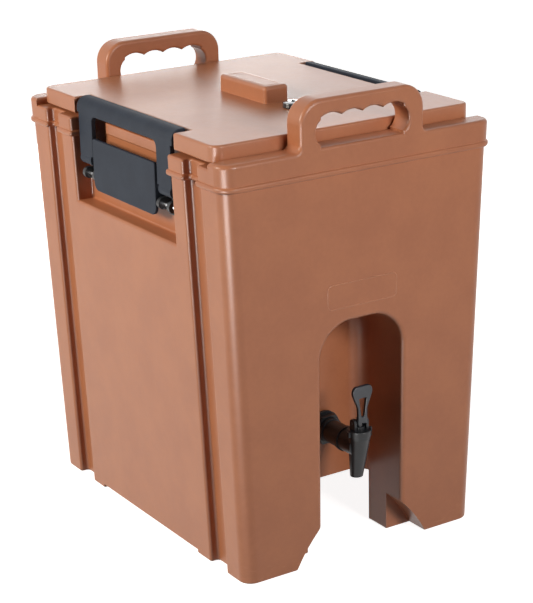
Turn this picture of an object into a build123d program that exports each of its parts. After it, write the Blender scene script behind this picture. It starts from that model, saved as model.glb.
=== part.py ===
from build123d import *
import os

# Insulated beverage dispenser: a double-walled tapered casing with a foam core, an inner tank, a lift-off
# lid held by a draw latch on each long side, and a black self-closing tap in an arched front recess.
# X runs across the front (right is +X seen from the front), the tap faces -Y, Z is up, and the origin is
# at the middle of the footprint on the floor. Millimetres.

# ---------------------------------------------------------------- clearances
FIT = 0.3                     # between moulded pieces that lie side by side
PIN_CLEARANCE = 0.05          # radial, between a pin and the bore that turns on it
SCREW_CLEARANCE = 0.05        # radial, between a screw and its hole

# ---------------------------------------------------------------- casing
BEAD_WIDTH = 403.2            # plan of the wall at the bead's mid height, along X
BEAD_DEPTH = 512.0            # and along Y
SIDE_TAPER = 20.25            # each side wall leans in this much from the bead to the floor
END_TAPER = 6.15              # and each end wall this much
BEAD_Z = 523.6                # mid height of the bead that runs round the casing
BEAD_HEIGHT = 7.6
BEAD_PROUD = 4.7              # the bead stands this far out of the wall below it
BEAD_ROUND = 3.0
COLLAR_PROUD = 2.2            # the collar above the bead stands this far out
COLLAR_HEIGHT = 22.4          # from the bead's mid height to the top of the side rims
END_RIM_RISE = 9.0            # the front and rear rims stand this much higher
CORNER_RADIUS = 18.0          # upright corners of the casing
RIM_ROUND = 5.0               # rounding of the end rims and handles
SIDE_RIM_ROUND = 3.0
WALL = 4.5                    # moulded wall of the casing
EDGE_ROUND = 4.0              # soft edges of the grooves and the pocket

GROOVE_INSET = 55.0           # from each end wall to the side groove beside it
GROOVE_WIDTH = 38.0
GROOVE_DEPTH = 12.0

POCKET_RIB = 32.0             # wall left between a groove and the latch pocket
POCKET_HEIGHT = 116.0
POCKET_DEPTH = 27.6           # from the side wall at the bead to the pocket's back wall
POCKET_INNER_ROUND = 3.0
STRIKE_HALF = 70.0            # thicker strip of the rim inside the pocket
STRIKE_HEIGHT = 15.0
STRIKE_PROUD = 8.0
STRIKE_ROUND = 1.5

RECESS_HALF = 64.0            # tap recess: half width
RECESS_TOP = 326.0
RECESS_DEPTH = 96.0           # from the front wall at the bead
RECESS_ARCH = 48.0            # radius of the arch's shoulders
RECESS_BACK_ROUND = 22.0
RECESS_MOUTH_ROUND = 6.0

LEG_HEIGHT = 74.0             # underside of the body between the legs
LEG_LENGTH = 72.85            # of each leg, along Y
SKIRT_THICKNESS = 25.0        # low walls between the legs
SKIRT_LIFT = 6.0              # their lower edge stands clear of the floor
SKIRT_SHOULDER = 47.0         # length of skirt beside each leg that still reaches the floor
UNDERSIDE_ROUND = 10.0
TOE_HEIGHT = 55.0             # flared cut at the inner front corner of each front leg
TOE_REACH = 104.0
TOE_MID_X = 84.0
TOE_MID_Z = 31.5
TOE_DEPTH = 34.0
FOOT_ROUND = 3.0

HANDLE_HALF = 93.0            # moulded carrying handles on the end rims
HANDLE_RISE = 62.5            # above the end rims
HANDLE_ROUND = 30.0
HANDLE_FLARE = 8.0
SLOT_HALF = 70.0
SLOT_SILL = 2.0               # the slot's lower edge, above the end rim
HANDLE_BAR = 19.0             # thickness of the bar above the slot
SLOT_ROUND = 18.0
SLOT_EDGE_ROUND = 3.5
GRIP_COUNT = 4                # finger hollows under the handle's bar
GRIP_PITCH = 31.0
GRIP_DEPTH = 4.5

# ---------------------------------------------------------------- tank and foam
FOAM_SIDE = 31.5              # foam between the latch pockets and the tank
FOAM_END = 35.5               # foam between the end walls and the tank
DRAIN_GAP = 9.0               # from the tank's floor to the flange of the tap's shank
TANK_WALL = 4.0
TANK_ROUND = 30.0
BULGE_ROUND = 12.0            # edges of the bulge that clears the tap recess
TANK_FLANGE = 8.0             # width of the flange that hangs the tank in the rim
TANK_END_FLANGE = 4.0         # and its width at the two ends
FLANGE_ROUND = 34.0
FOAM_AT_RECESS = 33.5         # foam between the tap recess and the tank
FOAM_BESIDE_RECESS = 30.0

# ---------------------------------------------------------------- lid
LID_SIDE_INSET = 6.9          # the lid's sides lie this far inside the wall at the bead
END_RIM_WIDTH = 29.95         # of the raised rims in front of and behind the lid
LID_THICKNESS = 21.8
LID_RISE = 4.0                # the lid's underside above the side rims
LID_END_GAP = 2.0             # between the lid's ends and the raised end rims
LID_CORNER = 14.0
LID_EDGE_ROUND = 3.0
LID_UNDER_ROUND = 2.0
LID_WALL = 3.5
PLUG_DEPTH = 22.0             # the underside reaches this far into the tank's mouth
PLUG_GAP = 4.5                # round the plug
GASKET_WIDTH = 6.5
GASKET_ROUND = 1.0
LEDGE_DROP = 4.3              # the hooks bear on ledges this far below the lid's top
LEDGE_PROUD = 13.0            # the ledge's edge stands this far out of the pocket's back wall
LEDGE_WIDTH = 17.0
LEDGE_ROUND = 10.0
LEDGE_FOOT_ROUND = 1.5        # where the ledge meets the wall behind it
BLOCK_WIDTH = 37.0            # raised block on the lid
BLOCK_FRONT_Y = -66.0
BLOCK_BACK_Y = 47.0
BLOCK_HEIGHT = 22.2
BLOCK_ROUND = 5.0

# ---------------------------------------------------------------- lid vent
VENT_Y = -104.0
VENT_CAP_RADIUS = 14.0
VENT_CAP_HEIGHT = 6.5
VENT_CAP_GAP = 0.8            # between the cap and the lid
VENT_CAP_WALL = 1.8
VENT_CAP_ROUND = 1.5
VENT_HUB_RADIUS = 8.0
VENT_POST_DEPTH = 9.0
VENT_TUBE_RADIUS = 7.0
VENT_BORE_RADIUS = 4.0
VENT_FLANGE_RADIUS = 11.0
VENT_FLANGE_THICKNESS = 2.0
VENT_SEAL_THICKNESS = 1.2
VENT_NUT_RADIUS = 12.0
VENT_NUT_HEIGHT = 5.0
VENT_TUBE_STICKOUT = 2.0

# ---------------------------------------------------------------- latches
HOOK_SEAT_GAP = 1.0           # the hook hangs this far above its ledge
HOOK_CURL = 5.5               # thickness of the part that reaches over the ledge
HOOK_CURL_ROUND = 14.0
HOOK_INNER_ROUND = 8.0
HOOK_TIP_ROUND = 1.5
HOOK_SOFT = 1.2               # soft edges of the hook's face
HOOK_TIP_GAP = 4.0            # between the hook's tip and the inner end of the ledge
HOOK_BACK_GAP = 1.5           # between the hook's plate and the lid's side
HOOK_THICKNESS = 6.5
HOOK_END_GAP = 6.0            # between the hook's ends and the pocket's ends
HOOK_ARM_STEP = 4.0           # the arms stand in from the bar's ends
HOOK_ARM_WIDTH = 35.5
HOOK_BAR_DEPTH = 20.5
HOOK_ARM_LENGTH = 55.5
HOOK_WINDOW_ROUND = 9.0
HOOK_LUG_RADIUS = 8.5
HOOK_LUG_INSET = 2.0
HOOK_LUG_WIDTH = 29.0
HOOK_LUG_WEB = 3.0
HOOK_PIVOT_DROP = 5.5         # the hook's pivot lies this far below the arms' lower edge
HOOK_PIN_RADIUS = 3.0
HOOK_PIN_STICKOUT = 1.0
HINGE_PIN_STICKOUT = 1.0
PIN_CHAMFER = 0.6

LEVER_SIDE_GAP = 3.5          # between the lever and the hook's arms
LEVER_PROUD = 1.5             # the lever's face stands this far out of the hook's face
LEVER_THICKNESS = 4.0
LEVER_ABOVE = 32.0            # the lever reaches this far above the hook's pivot
LEVER_BELOW = 17.0            # and this far below its own
LEVER_CORNER = 11.0
LEVER_TOP_CORNER = 3.0
LEVER_SOFT = 1.2
LEVER_PIVOT_DROP = 20.5       # lever pivot below the hook pivot
LEVER_PIVOT_PROUD = 14.0      # from the pocket's back wall
LEVER_PIN_RADIUS = 2.5
CHEEK_RADIUS = 6.5
CHEEK_THICKNESS = 9.5
CHEEK_INSET = 0.5

BRACKET_BASE = 4.0
BRACKET_WIDTH = 35.0
BRACKET_ABOVE = 18.0          # the bracket reaches this far above the lever's pivot
BRACKET_BELOW = 16.0          # and this far below it
BRACKET_GAP = 0.5             # between the lever and the bracket, along Y
LUG_BASE_GAP = 1.0            # between the hook's lugs and the bracket's base
EAR_THICKNESS = 6.0
EAR_INSET = 0.5               # from the bracket's near edge to its first ear
EAR_RADIUS = 8.0
EAR_STEP = 20.0               # clear width between a bracket's two ears
BRACKET_CORNER = 3.0
BRACKET_SCREW_RADIUS = 2.0
BRACKET_SCREW_HEAD_RADIUS = 3.5
BRACKET_SCREW_HEAD_HEIGHT = 2.4
BRACKET_SCREW_GRIP = 4.2      # length that bites in the casing's wall
BRACKET_SCREW_LOW = 7.0       # heights of the two screws above the bracket's lower edge
BRACKET_SCREW_HIGH = 23.5

# ---------------------------------------------------------------- tap
TAP_Z = 148.0                 # axis of the shank
TAP_INSET = 11.5              # the valve's axis lies this far behind the front wall at the bead
SHANK_RADIUS = 12.0
SHANK_BORE = 7.0
SHANK_FLANGE_RADIUS = 19.0
SHANK_FLANGE_THICKNESS = 5.0
SHANK_SOCKET = 10.3           # the shank's end reaches this far into the tap's barrel
WASHER_THICKNESS = 2.2
WASHER_RADIUS = 22.0
NUT_RADIUS = 23.0             # flange of the lock nut
NUT_FLANGE_THICKNESS = 4.0
NUT_FLATS = 38.0              # across the flats
NUT_HEIGHT = 14.0
NUT_WING_REACH = 30.0
NUT_WING_THICKNESS = 6.0
NUT_WING_ROUND = 2.5
NUT_WING_ANGLE = 40.0
BARREL_RADIUS = 15.5
BARREL_GAP = 1.5              # between the lock nut and the barrel
BARREL_RING = 1.6             # raised rings at the barrel's two ends
BARREL_RING_WIDTH = 5.0
CHAMBER_RADIUS = 7.5
CHAMBER_OUTER = 14.5
CHAMBER_DEPTH = 12.0          # below the shank's axis
CHAMBER_RISE = 16.0           # and above it
CHAMBER_COLLAR = 4.0          # straight top of the spout
SPOUT_DROP = 44.0             # the spout's tip below the shank's axis
SPOUT_TIP_RADIUS = 8.5
SPOUT_TIP_SHIFT = 7.0         # the tip lies this far behind the valve's axis
SPOUT_BORE_TOP = 5.0
SPOUT_BORE_TIP = 6.5
BONNET_RADIUS = 16.0
BONNET_HEIGHT = 8.0
BONNET_PLUG = 6.0
BONNET_ROUND = 1.5
BONNET_NECK_RADIUS = 7.0
BONNET_NECK_HEIGHT = 4.0
BONNET_WING_REACH = 18.5
BONNET_WING_THICKNESS = 5.0
TAP_PIVOT_RISE = 10.0         # the handle's pin above the bonnet
TAP_PIN_RADIUS = 2.0
TAP_PIN_STICKOUT = 0.5
TAP_EAR_GAP = 0.6             # between the handle's prongs and the bonnet's ears
TAP_EAR_THICKNESS = 3.6
TAP_EAR_RADIUS = 5.5
STEM_RADIUS = 4.0
STEM_HEAD_HALF = 2.6          # half thickness of the flat head that the pin passes through
STEM_HEAD_RISE = 5.5          # the head ends this far above the pin
STEM_LIFT = 4.0
STEM_SLOT_GAP = 0.1           # between the pin and the slot in the stem
STEM_COLLAR_RADIUS = 6.8
STEM_COLLAR_THICKNESS = 2.0
CUP_RADIUS = 6.8
CUP_HEIGHT = 6.7
CUP_ROUND = 1.0
SPRING_WIRE_RADIUS = 0.6
SPRING_RADIUS = 6.0
SPRING_TURNS = 4.0
PRONG_GAP = 0.6               # between the stem's head and each prong
PRONG_THICKNESS = 3.8
PRONG_RADIUS = 4.8
HANDLE_FRONT = 9.0            # the handle's face lies this far in front of the pin
HANDLE_THICKNESS = 4.6
HANDLE_SOFT = 1.2
BRIDGE_RISE = 1.0             # the bar that joins the prongs starts this far above the pin
BRIDGE_HEIGHT = 8.0
LOOP_HALF = 15.0              # widest half width of the loop
LOOP_WIDE_RISE = 40.5         # where it is widest, above the pin
LOOP_RISE = 51.5              # the loop's top, above the pin
LOOP_WAIST_RISE = 21.0
LOOP_BAR = 16.5               # height of the solid top of the loop
LOOP_CROWN = 7.0              # radius of the loop's upper corners
LOOP_CHIN = 8.0               # radius where the loop starts to narrow
LOOP_BEND = 12.0              # radius of the waist
LOOP_HOLE_ROUND = 1.4
LOOP_HOLE_TOP_HALF = 6.0
LOOP_HOLE_BOTTOM_HALF = 2.2

# ---------------------------------------------------------------- places that follow from the sizes above
FOOT_WIDTH = BEAD_WIDTH - 2 * SIDE_TAPER
FOOT_DEPTH = BEAD_DEPTH - 2 * END_TAPER
BEAD_LOW = BEAD_Z - BEAD_HEIGHT / 2
BEAD_HIGH = BEAD_Z + BEAD_HEIGHT / 2
SIDE_RIM_Z = BEAD_Z + COLLAR_HEIGHT
END_RIM_Z = SIDE_RIM_Z + END_RIM_RISE
END_RIM_Y = BEAD_DEPTH / 2 - END_RIM_WIDTH
HANDLE_TOP = END_RIM_Z + HANDLE_RISE
SLOT_BOTTOM = END_RIM_Z + SLOT_SILL
SLOT_TOP = HANDLE_TOP - HANDLE_BAR
GROOVE_FAR = BEAD_DEPTH / 2 - GROOVE_INSET
GROOVE_NEAR = GROOVE_FAR - GROOVE_WIDTH
POCKET_HALF = GROOVE_NEAR - POCKET_RIB
POCKET_FLOOR = SIDE_RIM_Z - POCKET_HEIGHT
POCKET_WALL_X = BEAD_WIDTH / 2 - POCKET_DEPTH
RECESS_BACK_Y = RECESS_DEPTH - BEAD_DEPTH / 2
LEG_END = FOOT_DEPTH / 2 - LEG_LENGTH
SKIRT_LIFT_HALF = LEG_END - SKIRT_SHOULDER

TANK_OUT_X = POCKET_WALL_X - WALL - FOAM_SIDE
TANK_OUT_Y = BEAD_DEPTH / 2 - WALL - FOAM_END
TANK_HALF_X = TANK_OUT_X - TANK_WALL
TANK_HALF_Y = TANK_OUT_Y - TANK_WALL
TANK_FLOOR = TAP_Z - SHANK_FLANGE_RADIUS - DRAIN_GAP
BULGE_HALF = RECESS_HALF + WALL + FOAM_BESIDE_RECESS
BULGE_Y = RECESS_BACK_Y + WALL + FOAM_AT_RECESS
BULGE_TOP = RECESS_TOP + WALL + FOAM_BESIDE_RECESS
FLANGE_X = TANK_OUT_X + TANK_FLANGE
FLANGE_Y = TANK_OUT_Y + TANK_END_FLANGE

LID_WIDTH = BEAD_WIDTH - 2 * LID_SIDE_INSET
LID_LENGTH = 2 * (END_RIM_Y - LID_END_GAP)
LID_BOTTOM = SIDE_RIM_Z + LID_RISE
LID_TOP = LID_BOTTOM + LID_THICKNESS
LEDGE_Z = LID_TOP - LEDGE_DROP
LEDGE_EDGE_X = POCKET_WALL_X + LEDGE_PROUD
LEDGE_X = LEDGE_EDGE_X - LEDGE_WIDTH
PLUG_X = TANK_HALF_X - PLUG_GAP
PLUG_Y = TANK_HALF_Y - PLUG_GAP
PLUG_BOTTOM = LID_BOTTOM - PLUG_DEPTH

HOOK_INNER_X = LEDGE_EDGE_X + HOOK_BACK_GAP
HOOK_FACE_X = HOOK_INNER_X + HOOK_THICKNESS
HOOK_TIP_X = LEDGE_X + HOOK_TIP_GAP
HOOK_TOP = LEDGE_Z + HOOK_SEAT_GAP + HOOK_CURL
HOOK_HALF = POCKET_HALF - HOOK_END_GAP
HOOK_ARM_OUTER = HOOK_HALF - HOOK_ARM_STEP
HOOK_ARM_INNER = HOOK_ARM_OUTER - HOOK_ARM_WIDTH
HOOK_LUG_OUTER = HOOK_ARM_OUTER - HOOK_LUG_INSET
HOOK_BAR_BOTTOM = HOOK_TOP - HOOK_BAR_DEPTH
HOOK_ARM_BOTTOM = HOOK_BAR_BOTTOM - HOOK_ARM_LENGTH
HOOK_PIVOT_X = POCKET_WALL_X + BRACKET_BASE + LUG_BASE_GAP + HOOK_LUG_RADIUS
HOOK_PIVOT_Z = HOOK_ARM_BOTTOM - HOOK_PIVOT_DROP
LEVER_PIVOT_X = POCKET_WALL_X + LEVER_PIVOT_PROUD
LEVER_PIVOT_Z = HOOK_PIVOT_Z - LEVER_PIVOT_DROP
LEVER_TOP = HOOK_PIVOT_Z + LEVER_ABOVE
LEVER_BOTTOM = LEVER_PIVOT_Z - LEVER_BELOW
LEVER_FACE_X = HOOK_FACE_X + LEVER_PROUD
LEVER_INNER_X = LEVER_FACE_X - LEVER_THICKNESS
LEVER_HALF = HOOK_ARM_INNER - LEVER_SIDE_GAP
CHEEK_OUTER = LEVER_HALF - CHEEK_INSET
BRACKET_NEAR = LEVER_HALF + BRACKET_GAP
BRACKET_FAR = BRACKET_NEAR + BRACKET_WIDTH
BRACKET_TOP = LEVER_PIVOT_Z + BRACKET_ABOVE
BRACKET_BOTTOM = LEVER_PIVOT_Z - BRACKET_BELOW
EAR_FIRST = BRACKET_NEAR + EAR_INSET
EAR_SECOND = EAR_FIRST + EAR_THICKNESS + EAR_STEP

TAP_Y = TAP_INSET - BEAD_DEPTH / 2
INLET_Y = BULGE_Y + TANK_WALL + WASHER_THICKNESS
NUT_FACE_Y = RECESS_BACK_Y - WASHER_THICKNESS
BARREL_BACK_Y = NUT_FACE_Y - NUT_HEIGHT - BARREL_GAP
SHANK_END_Y = BARREL_BACK_Y - SHANK_SOCKET
CHAMBER_FLOOR = TAP_Z - CHAMBER_DEPTH
CHAMBER_TOP = TAP_Z + CHAMBER_RISE
SPOUT_TOP_Z = CHAMBER_TOP - CHAMBER_COLLAR
SPOUT_TIP_Z = TAP_Z - SPOUT_DROP
BONNET_TOP = CHAMBER_TOP + BONNET_HEIGHT
TAP_PIVOT_Z = BONNET_TOP + TAP_PIVOT_RISE
STEM_TOP = TAP_PIVOT_Z + STEM_HEAD_RISE
PRONG_INNER = STEM_HEAD_HALF + PRONG_GAP
PRONG_OUTER = PRONG_INNER + PRONG_THICKNESS
TAP_EAR_INNER = PRONG_OUTER + TAP_EAR_GAP
TAP_EAR_OUTER = TAP_EAR_INNER + TAP_EAR_THICKNESS
BRIDGE_Z = TAP_PIVOT_Z + BRIDGE_RISE
LOOP_BOTTOM_Z = BRIDGE_Z + BRIDGE_HEIGHT
LOOP_WAIST_Z = TAP_PIVOT_Z + LOOP_WAIST_RISE
LOOP_WIDE_Z = TAP_PIVOT_Z + LOOP_WIDE_RISE
LOOP_TOP_Z = TAP_PIVOT_Z + LOOP_RISE

FLARE = 60.0                  # large cutters run this far past the walls that they cut
OVER = 1.0                    # and small ones this far past a flat face
CLOSE = 0.3                   # an edge this close to a leaning wall lies on it


def wall_x(z, inset=0.0):
    """Half width of the tapered casing at height z, moved inwards by inset."""
    return FOOT_WIDTH / 2 + SIDE_TAPER * z / BEAD_Z - inset


def wall_y(z, inset=0.0):
    """Half depth of the tapered casing at height z, moved inwards by inset."""
    return FOOT_DEPTH / 2 + END_TAPER * z / BEAD_Z - inset


def block(x0, x1, y0, y1, z0, z1):
    """A box between two opposite corners."""
    return Pos((x0 + x1) / 2, (y0 + y1) / 2, (z0 + z1) / 2) * Box(x1 - x0, y1 - y0, z1 - z0)


def edges_where(solid, test):
    """Edges of the solid whose middle point passes the test."""
    return [edge for edge in solid.edges() if test(edge @ 0.5)]


def near(value, target, reach=0.1):
    """Whether two sizes agree within a small reach."""
    return abs(value - target) < reach


def side_groove(side, end, z0, z1, inset):
    """Cutter of one upright groove, whose floor runs parallel to the tapered side wall."""
    outline = [
        (side * (wall_x(z0, inset) - GROOVE_DEPTH), z0),
        (side * (wall_x(z1, inset) - GROOVE_DEPTH), z1),
        (side * (wall_x(z1) + FLARE), z1),
        (side * (wall_x(z0) + FLARE), z0),
    ]
    low_y = GROOVE_NEAR - inset
    high_y = GROOVE_FAR + inset
    face = Plane.XZ * make_face(Polyline(*outline, close=True))
    cutter = extrude(face, amount=high_y - low_y, dir=(0, 1, 0))
    return Pos(0, low_y if end > 0 else -high_y, 0) * cutter


def upright_edges(solid, z0, z1):
    """Edges of the solid that climb all the way from z0 to z1."""
    chosen = []
    for edge in solid.edges():
        box = edge.bounding_box()
        if near(box.min.Z, z0, CLOSE) and near(box.max.Z, z1, CLOSE):
            chosen.append(edge)
    return chosen


def tapered_block(z0, z1, inset):
    """Casing between two heights, with flat tapered walls, rounded corners and the four side grooves."""
    across = [(side * wall_x(z, inset), z) for side, z in ((-1, z0), (1, z0), (1, z1), (-1, z1))]
    along = [(side * wall_y(z, inset), z) for side, z in ((-1, z0), (1, z0), (1, z1), (-1, z1))]
    reach = BEAD_DEPTH + FLARE
    slab_x = extrude(Plane.XZ * make_face(Polyline(*across, close=True)), amount=reach, both=True)
    slab_y = extrude(Plane.YZ * make_face(Polyline(*along, close=True)), amount=reach, both=True)
    body = slab_x & slab_y
    body = fillet(upright_edges(body, z0, z1), CORNER_RADIUS - inset)
    for side in (-1, 1):
        for end in (-1, 1):
            body -= side_groove(side, end, z0 - OVER, z1 + OVER, inset)
    edges = [edge for edge in upright_edges(body, z0, z1) if edge.geom_type == GeomType.LINE
             and GROOVE_NEAR - 2 * EDGE_ROUND < abs(edge.center().Y) < GROOVE_FAR + 2 * EDGE_ROUND]
    return fillet(edges, EDGE_ROUND)


def arch(half, top, shoulder, y0, y1):
    """Prism along Y under an arch with a flat top and round shoulders."""
    outline = FilletPolyline((-half, -OVER), (-half, top), (half, top), (half, -OVER),
                             radius=[0, shoulder, shoulder, 0], close=True)
    return Pos(0, y0, 0) * extrude(Plane.XZ * make_face(outline), amount=y1 - y0, dir=(0, 1, 0))


def tap_recess(inset):
    """Cutter of the arched recess that holds the tap, with a rounded back."""
    back = RECESS_BACK_Y + inset
    cutter = arch(RECESS_HALF + inset, RECESS_TOP + inset, RECESS_ARCH + inset, -BEAD_DEPTH / 2 - FLARE, back)
    back_edges = edges_where(cutter, lambda p: near(p.Y, back, 0.01) and p.Z > 0)
    return fillet(back_edges, RECESS_BACK_ROUND + inset)


def underside(inset):
    """Cutter of the space under the body, between the legs and inside the skirts."""
    top = LEG_HEIGHT + inset
    inner_x = FOOT_WIDTH / 2 - SKIRT_THICKNESS + inset
    leg_y = LEG_END + inset
    rear_y = FOOT_DEPTH / 2 - SKIRT_THICKNESS + inset
    between = RECESS_HALF + inset
    space = block(-inner_x, inner_x, -leg_y, leg_y, -FLARE, top)
    space += block(-between, between, 0, rear_y, -FLARE, top)
    space = fillet(upright_edges(space, -FLARE, top), UNDERSIDE_ROUND)
    lift = SKIRT_LIFT + inset
    half = SKIRT_LIFT_HALF + inset
    space += block(-FOOT_WIDTH, FOOT_WIDTH, -half, half, -FLARE, lift)
    return space + block(-between, between, 0, FOOT_DEPTH, -FLARE, lift)


def toe_cuts(inset):
    """Cutters of the flared inner corners at the front of the two front legs."""
    cutters = []
    for side in (-1, 1):
        edge_x = (RECESS_HALF + inset - OVER) * side
        foot_x = (TOE_REACH + inset) * side
        crest = TOE_HEIGHT + inset
        flank = ThreePointArc((edge_x, crest), ((TOE_MID_X + inset) * side, TOE_MID_Z + inset), (foot_x, 0))
        sides = Polyline((foot_x, 0), (foot_x, -FLARE), (edge_x, -FLARE), (edge_x, crest))
        face = Plane.XZ * make_face(flank + sides)
        front_y = -FOOT_DEPTH / 2 + TOE_DEPTH + inset
        cutters.append(Pos(0, front_y, 0) * extrude(face, amount=TOE_DEPTH + FLARE, dir=(0, -1, 0)))
    return cutters


def latch_pocket(side, inset, half_inset):
    """Cutter of the pocket that holds one latch, open at the rim."""
    x0, x1 = sorted((side * (POCKET_WALL_X - inset), side * (BEAD_WIDTH / 2 + FLARE)))
    half = POCKET_HALF + half_inset
    return block(x0, x1, -half, half, POCKET_FLOOR - inset, END_RIM_Z + FLARE)


def end_rim_profile():
    """Outline of an end rim seen from the front: the flat rim, the flares, and the handle on top."""
    reach = BEAD_WIDTH / 2 + FLARE
    left = [(-reach, BEAD_HIGH - OVER), (-reach, END_RIM_Z)]
    left += [(-HANDLE_HALF, END_RIM_Z), (-HANDLE_HALF, HANDLE_TOP)]
    right = [(-x, z) for x, z in reversed(left)]
    points = left + right
    radii = [0, 0, HANDLE_FLARE, HANDLE_ROUND, HANDLE_ROUND, HANDLE_FLARE, 0, 0]
    return make_face(FilletPolyline(*points, radius=radii, close=True))


def grip_slot(end):
    """Cutter of one handle's slot, with finger hollows along its top."""
    crown = SLOT_TOP - GRIP_DEPTH
    corner = min(SLOT_ROUND, (crown - SLOT_BOTTOM) / 2 - CLOSE)
    slot = RectangleRounded(2 * SLOT_HALF, crown - SLOT_BOTTOM, corner)
    slot = Pos(0, (crown + SLOT_BOTTOM) / 2) * slot
    hollow_radius = (GRIP_PITCH ** 2 / 4 + GRIP_DEPTH ** 2) / (2 * GRIP_DEPTH)
    for index in range(GRIP_COUNT):
        middle = (index - (GRIP_COUNT - 1) / 2) * GRIP_PITCH
        cap = Pos(middle, SLOT_TOP - hollow_radius) * Circle(hollow_radius)
        lane = Pos(middle, (SLOT_TOP + SLOT_BOTTOM) / 2) * Rectangle(GRIP_PITCH, SLOT_TOP - SLOT_BOTTOM)
        slot += cap & lane
    y0, y1 = sorted((end * (END_RIM_Y - FLARE / 2), end * (BEAD_DEPTH / 2 + FLARE / 2)))
    return Pos(0, y0, 0) * extrude(Plane.XZ * slot, amount=y1 - y0, dir=(0, 1, 0))


def lower_casing():
    """Casing from the floor to the bead, with the latch pockets, the tap recess and the legs."""
    body = tapered_block(0, BEAD_LOW, 0)
    for side in (-1, 1):
        body -= latch_pocket(side, 0, 0)
    body -= tap_recess(0)
    mouth = edges_where(body, lambda p: near(-p.Y, wall_y(p.Z), CLOSE) and abs(p.X) < RECESS_HALF + OVER
                        and OVER < p.Z < RECESS_TOP + OVER)
    body = fillet(mouth, RECESS_MOUTH_ROUND)
    body -= underside(0)
    for cutter in toe_cuts(0):
        body -= cutter
    rim = edges_where(body, lambda p: abs(p.X) > wall_x(p.Z) - OVER / 2 and (
        near(p.Z, POCKET_FLOOR) or (near(abs(p.Y), POCKET_HALF) and p.Z > POCKET_FLOOR + OVER)))
    body = fillet(rim, EDGE_ROUND)
    inner = edges_where(body, lambda p: near(abs(p.X), POCKET_WALL_X) and (
        near(p.Z, POCKET_FLOOR) or near(abs(p.Y), POCKET_HALF)))
    body = fillet(inner, POCKET_INNER_ROUND)
    return fillet(edges_where(body, lambda p: near(p.Z, 0)), FOOT_ROUND)


def bead():
    """The rounded bead that runs round the casing, open at the latch pockets."""
    ring = tapered_block(BEAD_LOW, BEAD_HIGH, -BEAD_PROUD)
    for side in (-1, 1):
        ring -= latch_pocket(side, 0, -BEAD_PROUD)
    corners = edges_where(ring, lambda p: near(abs(p.Y), POCKET_HALF - BEAD_PROUD) and near(p.Z, BEAD_Z)
                          and abs(p.X) > BEAD_WIDTH / 2)
    ring = fillet(corners, EDGE_ROUND)
    rims = edges_where(ring, lambda p: (near(p.Z, BEAD_LOW) or near(p.Z, BEAD_HIGH))
                       and not near(abs(p.X), POCKET_WALL_X))
    return fillet(rims, BEAD_ROUND)


def collar():
    """The rim above the bead, with the raised ends and their handles."""
    body = tapered_block(BEAD_HIGH, HANDLE_TOP + OVER, -COLLAR_PROUD)
    for side in (-1, 1):
        body -= latch_pocket(side, 0, -COLLAR_PROUD)
    body -= block(-BEAD_WIDTH, BEAD_WIDTH, -END_RIM_Y, END_RIM_Y, SIDE_RIM_Z, HANDLE_TOP + FLARE)
    ends = extrude(Plane.XZ * end_rim_profile(), amount=BEAD_DEPTH, both=True)
    body &= ends + block(-BEAD_WIDTH, BEAD_WIDTH, -BEAD_DEPTH, BEAD_DEPTH, BEAD_HIGH - OVER, SIDE_RIM_Z)

    middle = (BEAD_HIGH + SIDE_RIM_Z) / 2
    corners = edges_where(body, lambda p: near(abs(p.Y), POCKET_HALF - COLLAR_PROUD)
                          and near(p.Z, middle, 1) and abs(p.X) > POCKET_WALL_X + OVER)
    body = fillet(corners, EDGE_ROUND)
    sides = edges_where(body, lambda p: near(p.Z, SIDE_RIM_Z, 0.02) and abs(p.Y) < END_RIM_Y - OVER / 2
                        and not near(abs(p.X), POCKET_WALL_X))
    body = fillet(sides, SIDE_RIM_ROUND)

    def outer(point):
        return near(abs(point.Y), wall_y(point.Z, -COLLAR_PROUD), CLOSE)

    tops = edges_where(body, lambda p: (near(p.Z, END_RIM_Z, 0.05) and abs(p.Y) > END_RIM_Y + 0.1
                                        and abs(p.X) > HANDLE_HALF + HANDLE_FLARE)
                       or (outer(p) and p.Z > END_RIM_Z - 0.1))
    backs = edges_where(body, lambda p: near(abs(p.Y), END_RIM_Y, 0.01) and p.Z > END_RIM_Z - 0.1)
    body = fillet(tops + backs, RIM_ROUND)
    for end in (-1, 1):
        body -= grip_slot(end)
    slots = edges_where(body, lambda p: (outer(p) or near(abs(p.Y), END_RIM_Y, 0.01))
                        and abs(p.X) < SLOT_HALF + 0.1 and SLOT_BOTTOM - 0.1 < p.Z < SLOT_TOP + 0.1)
    return fillet(slots, SLOT_EDGE_ROUND)


def casing_form(inset):
    """Solid form of the casing, moved inwards by inset all over, without the handles."""
    form = tapered_block(inset, SIDE_RIM_Z - inset, inset)
    for side in (-1, 1):
        form -= latch_pocket(side, inset, inset)
    form -= tap_recess(inset)
    form -= underside(inset)
    for cutter in toe_cuts(inset):
        form -= cutter
    return form


def tank_form(inset, floor, top):
    """Form of the tank's body, moved inwards by inset, with the bulge that clears the tap recess."""
    half_x = TANK_OUT_X - inset
    half_y = TANK_OUT_Y - inset
    form = block(-half_x, half_x, -half_y, half_y, floor, top)
    form = fillet(upright_edges(form, floor, top), TANK_ROUND - inset)
    bulge_half = BULGE_HALF + inset
    bulge_y = BULGE_Y + inset
    bulge_top = BULGE_TOP + inset
    bulge = block(-bulge_half, bulge_half, -half_y - FLARE, bulge_y, floor - FLARE, bulge_top)
    corners = edges_where(bulge, lambda p: near(p.Y, bulge_y))
    form -= fillet(corners, BULGE_ROUND + inset)
    return form


def rounded_box(half_x, half_y, z0, z1, radius):
    """A box centred on the Z axis with rounded upright corners."""
    return Pos(0, 0, z0) * extrude(RectangleRounded(2 * half_x, 2 * half_y, radius), amount=z1 - z0)


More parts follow.
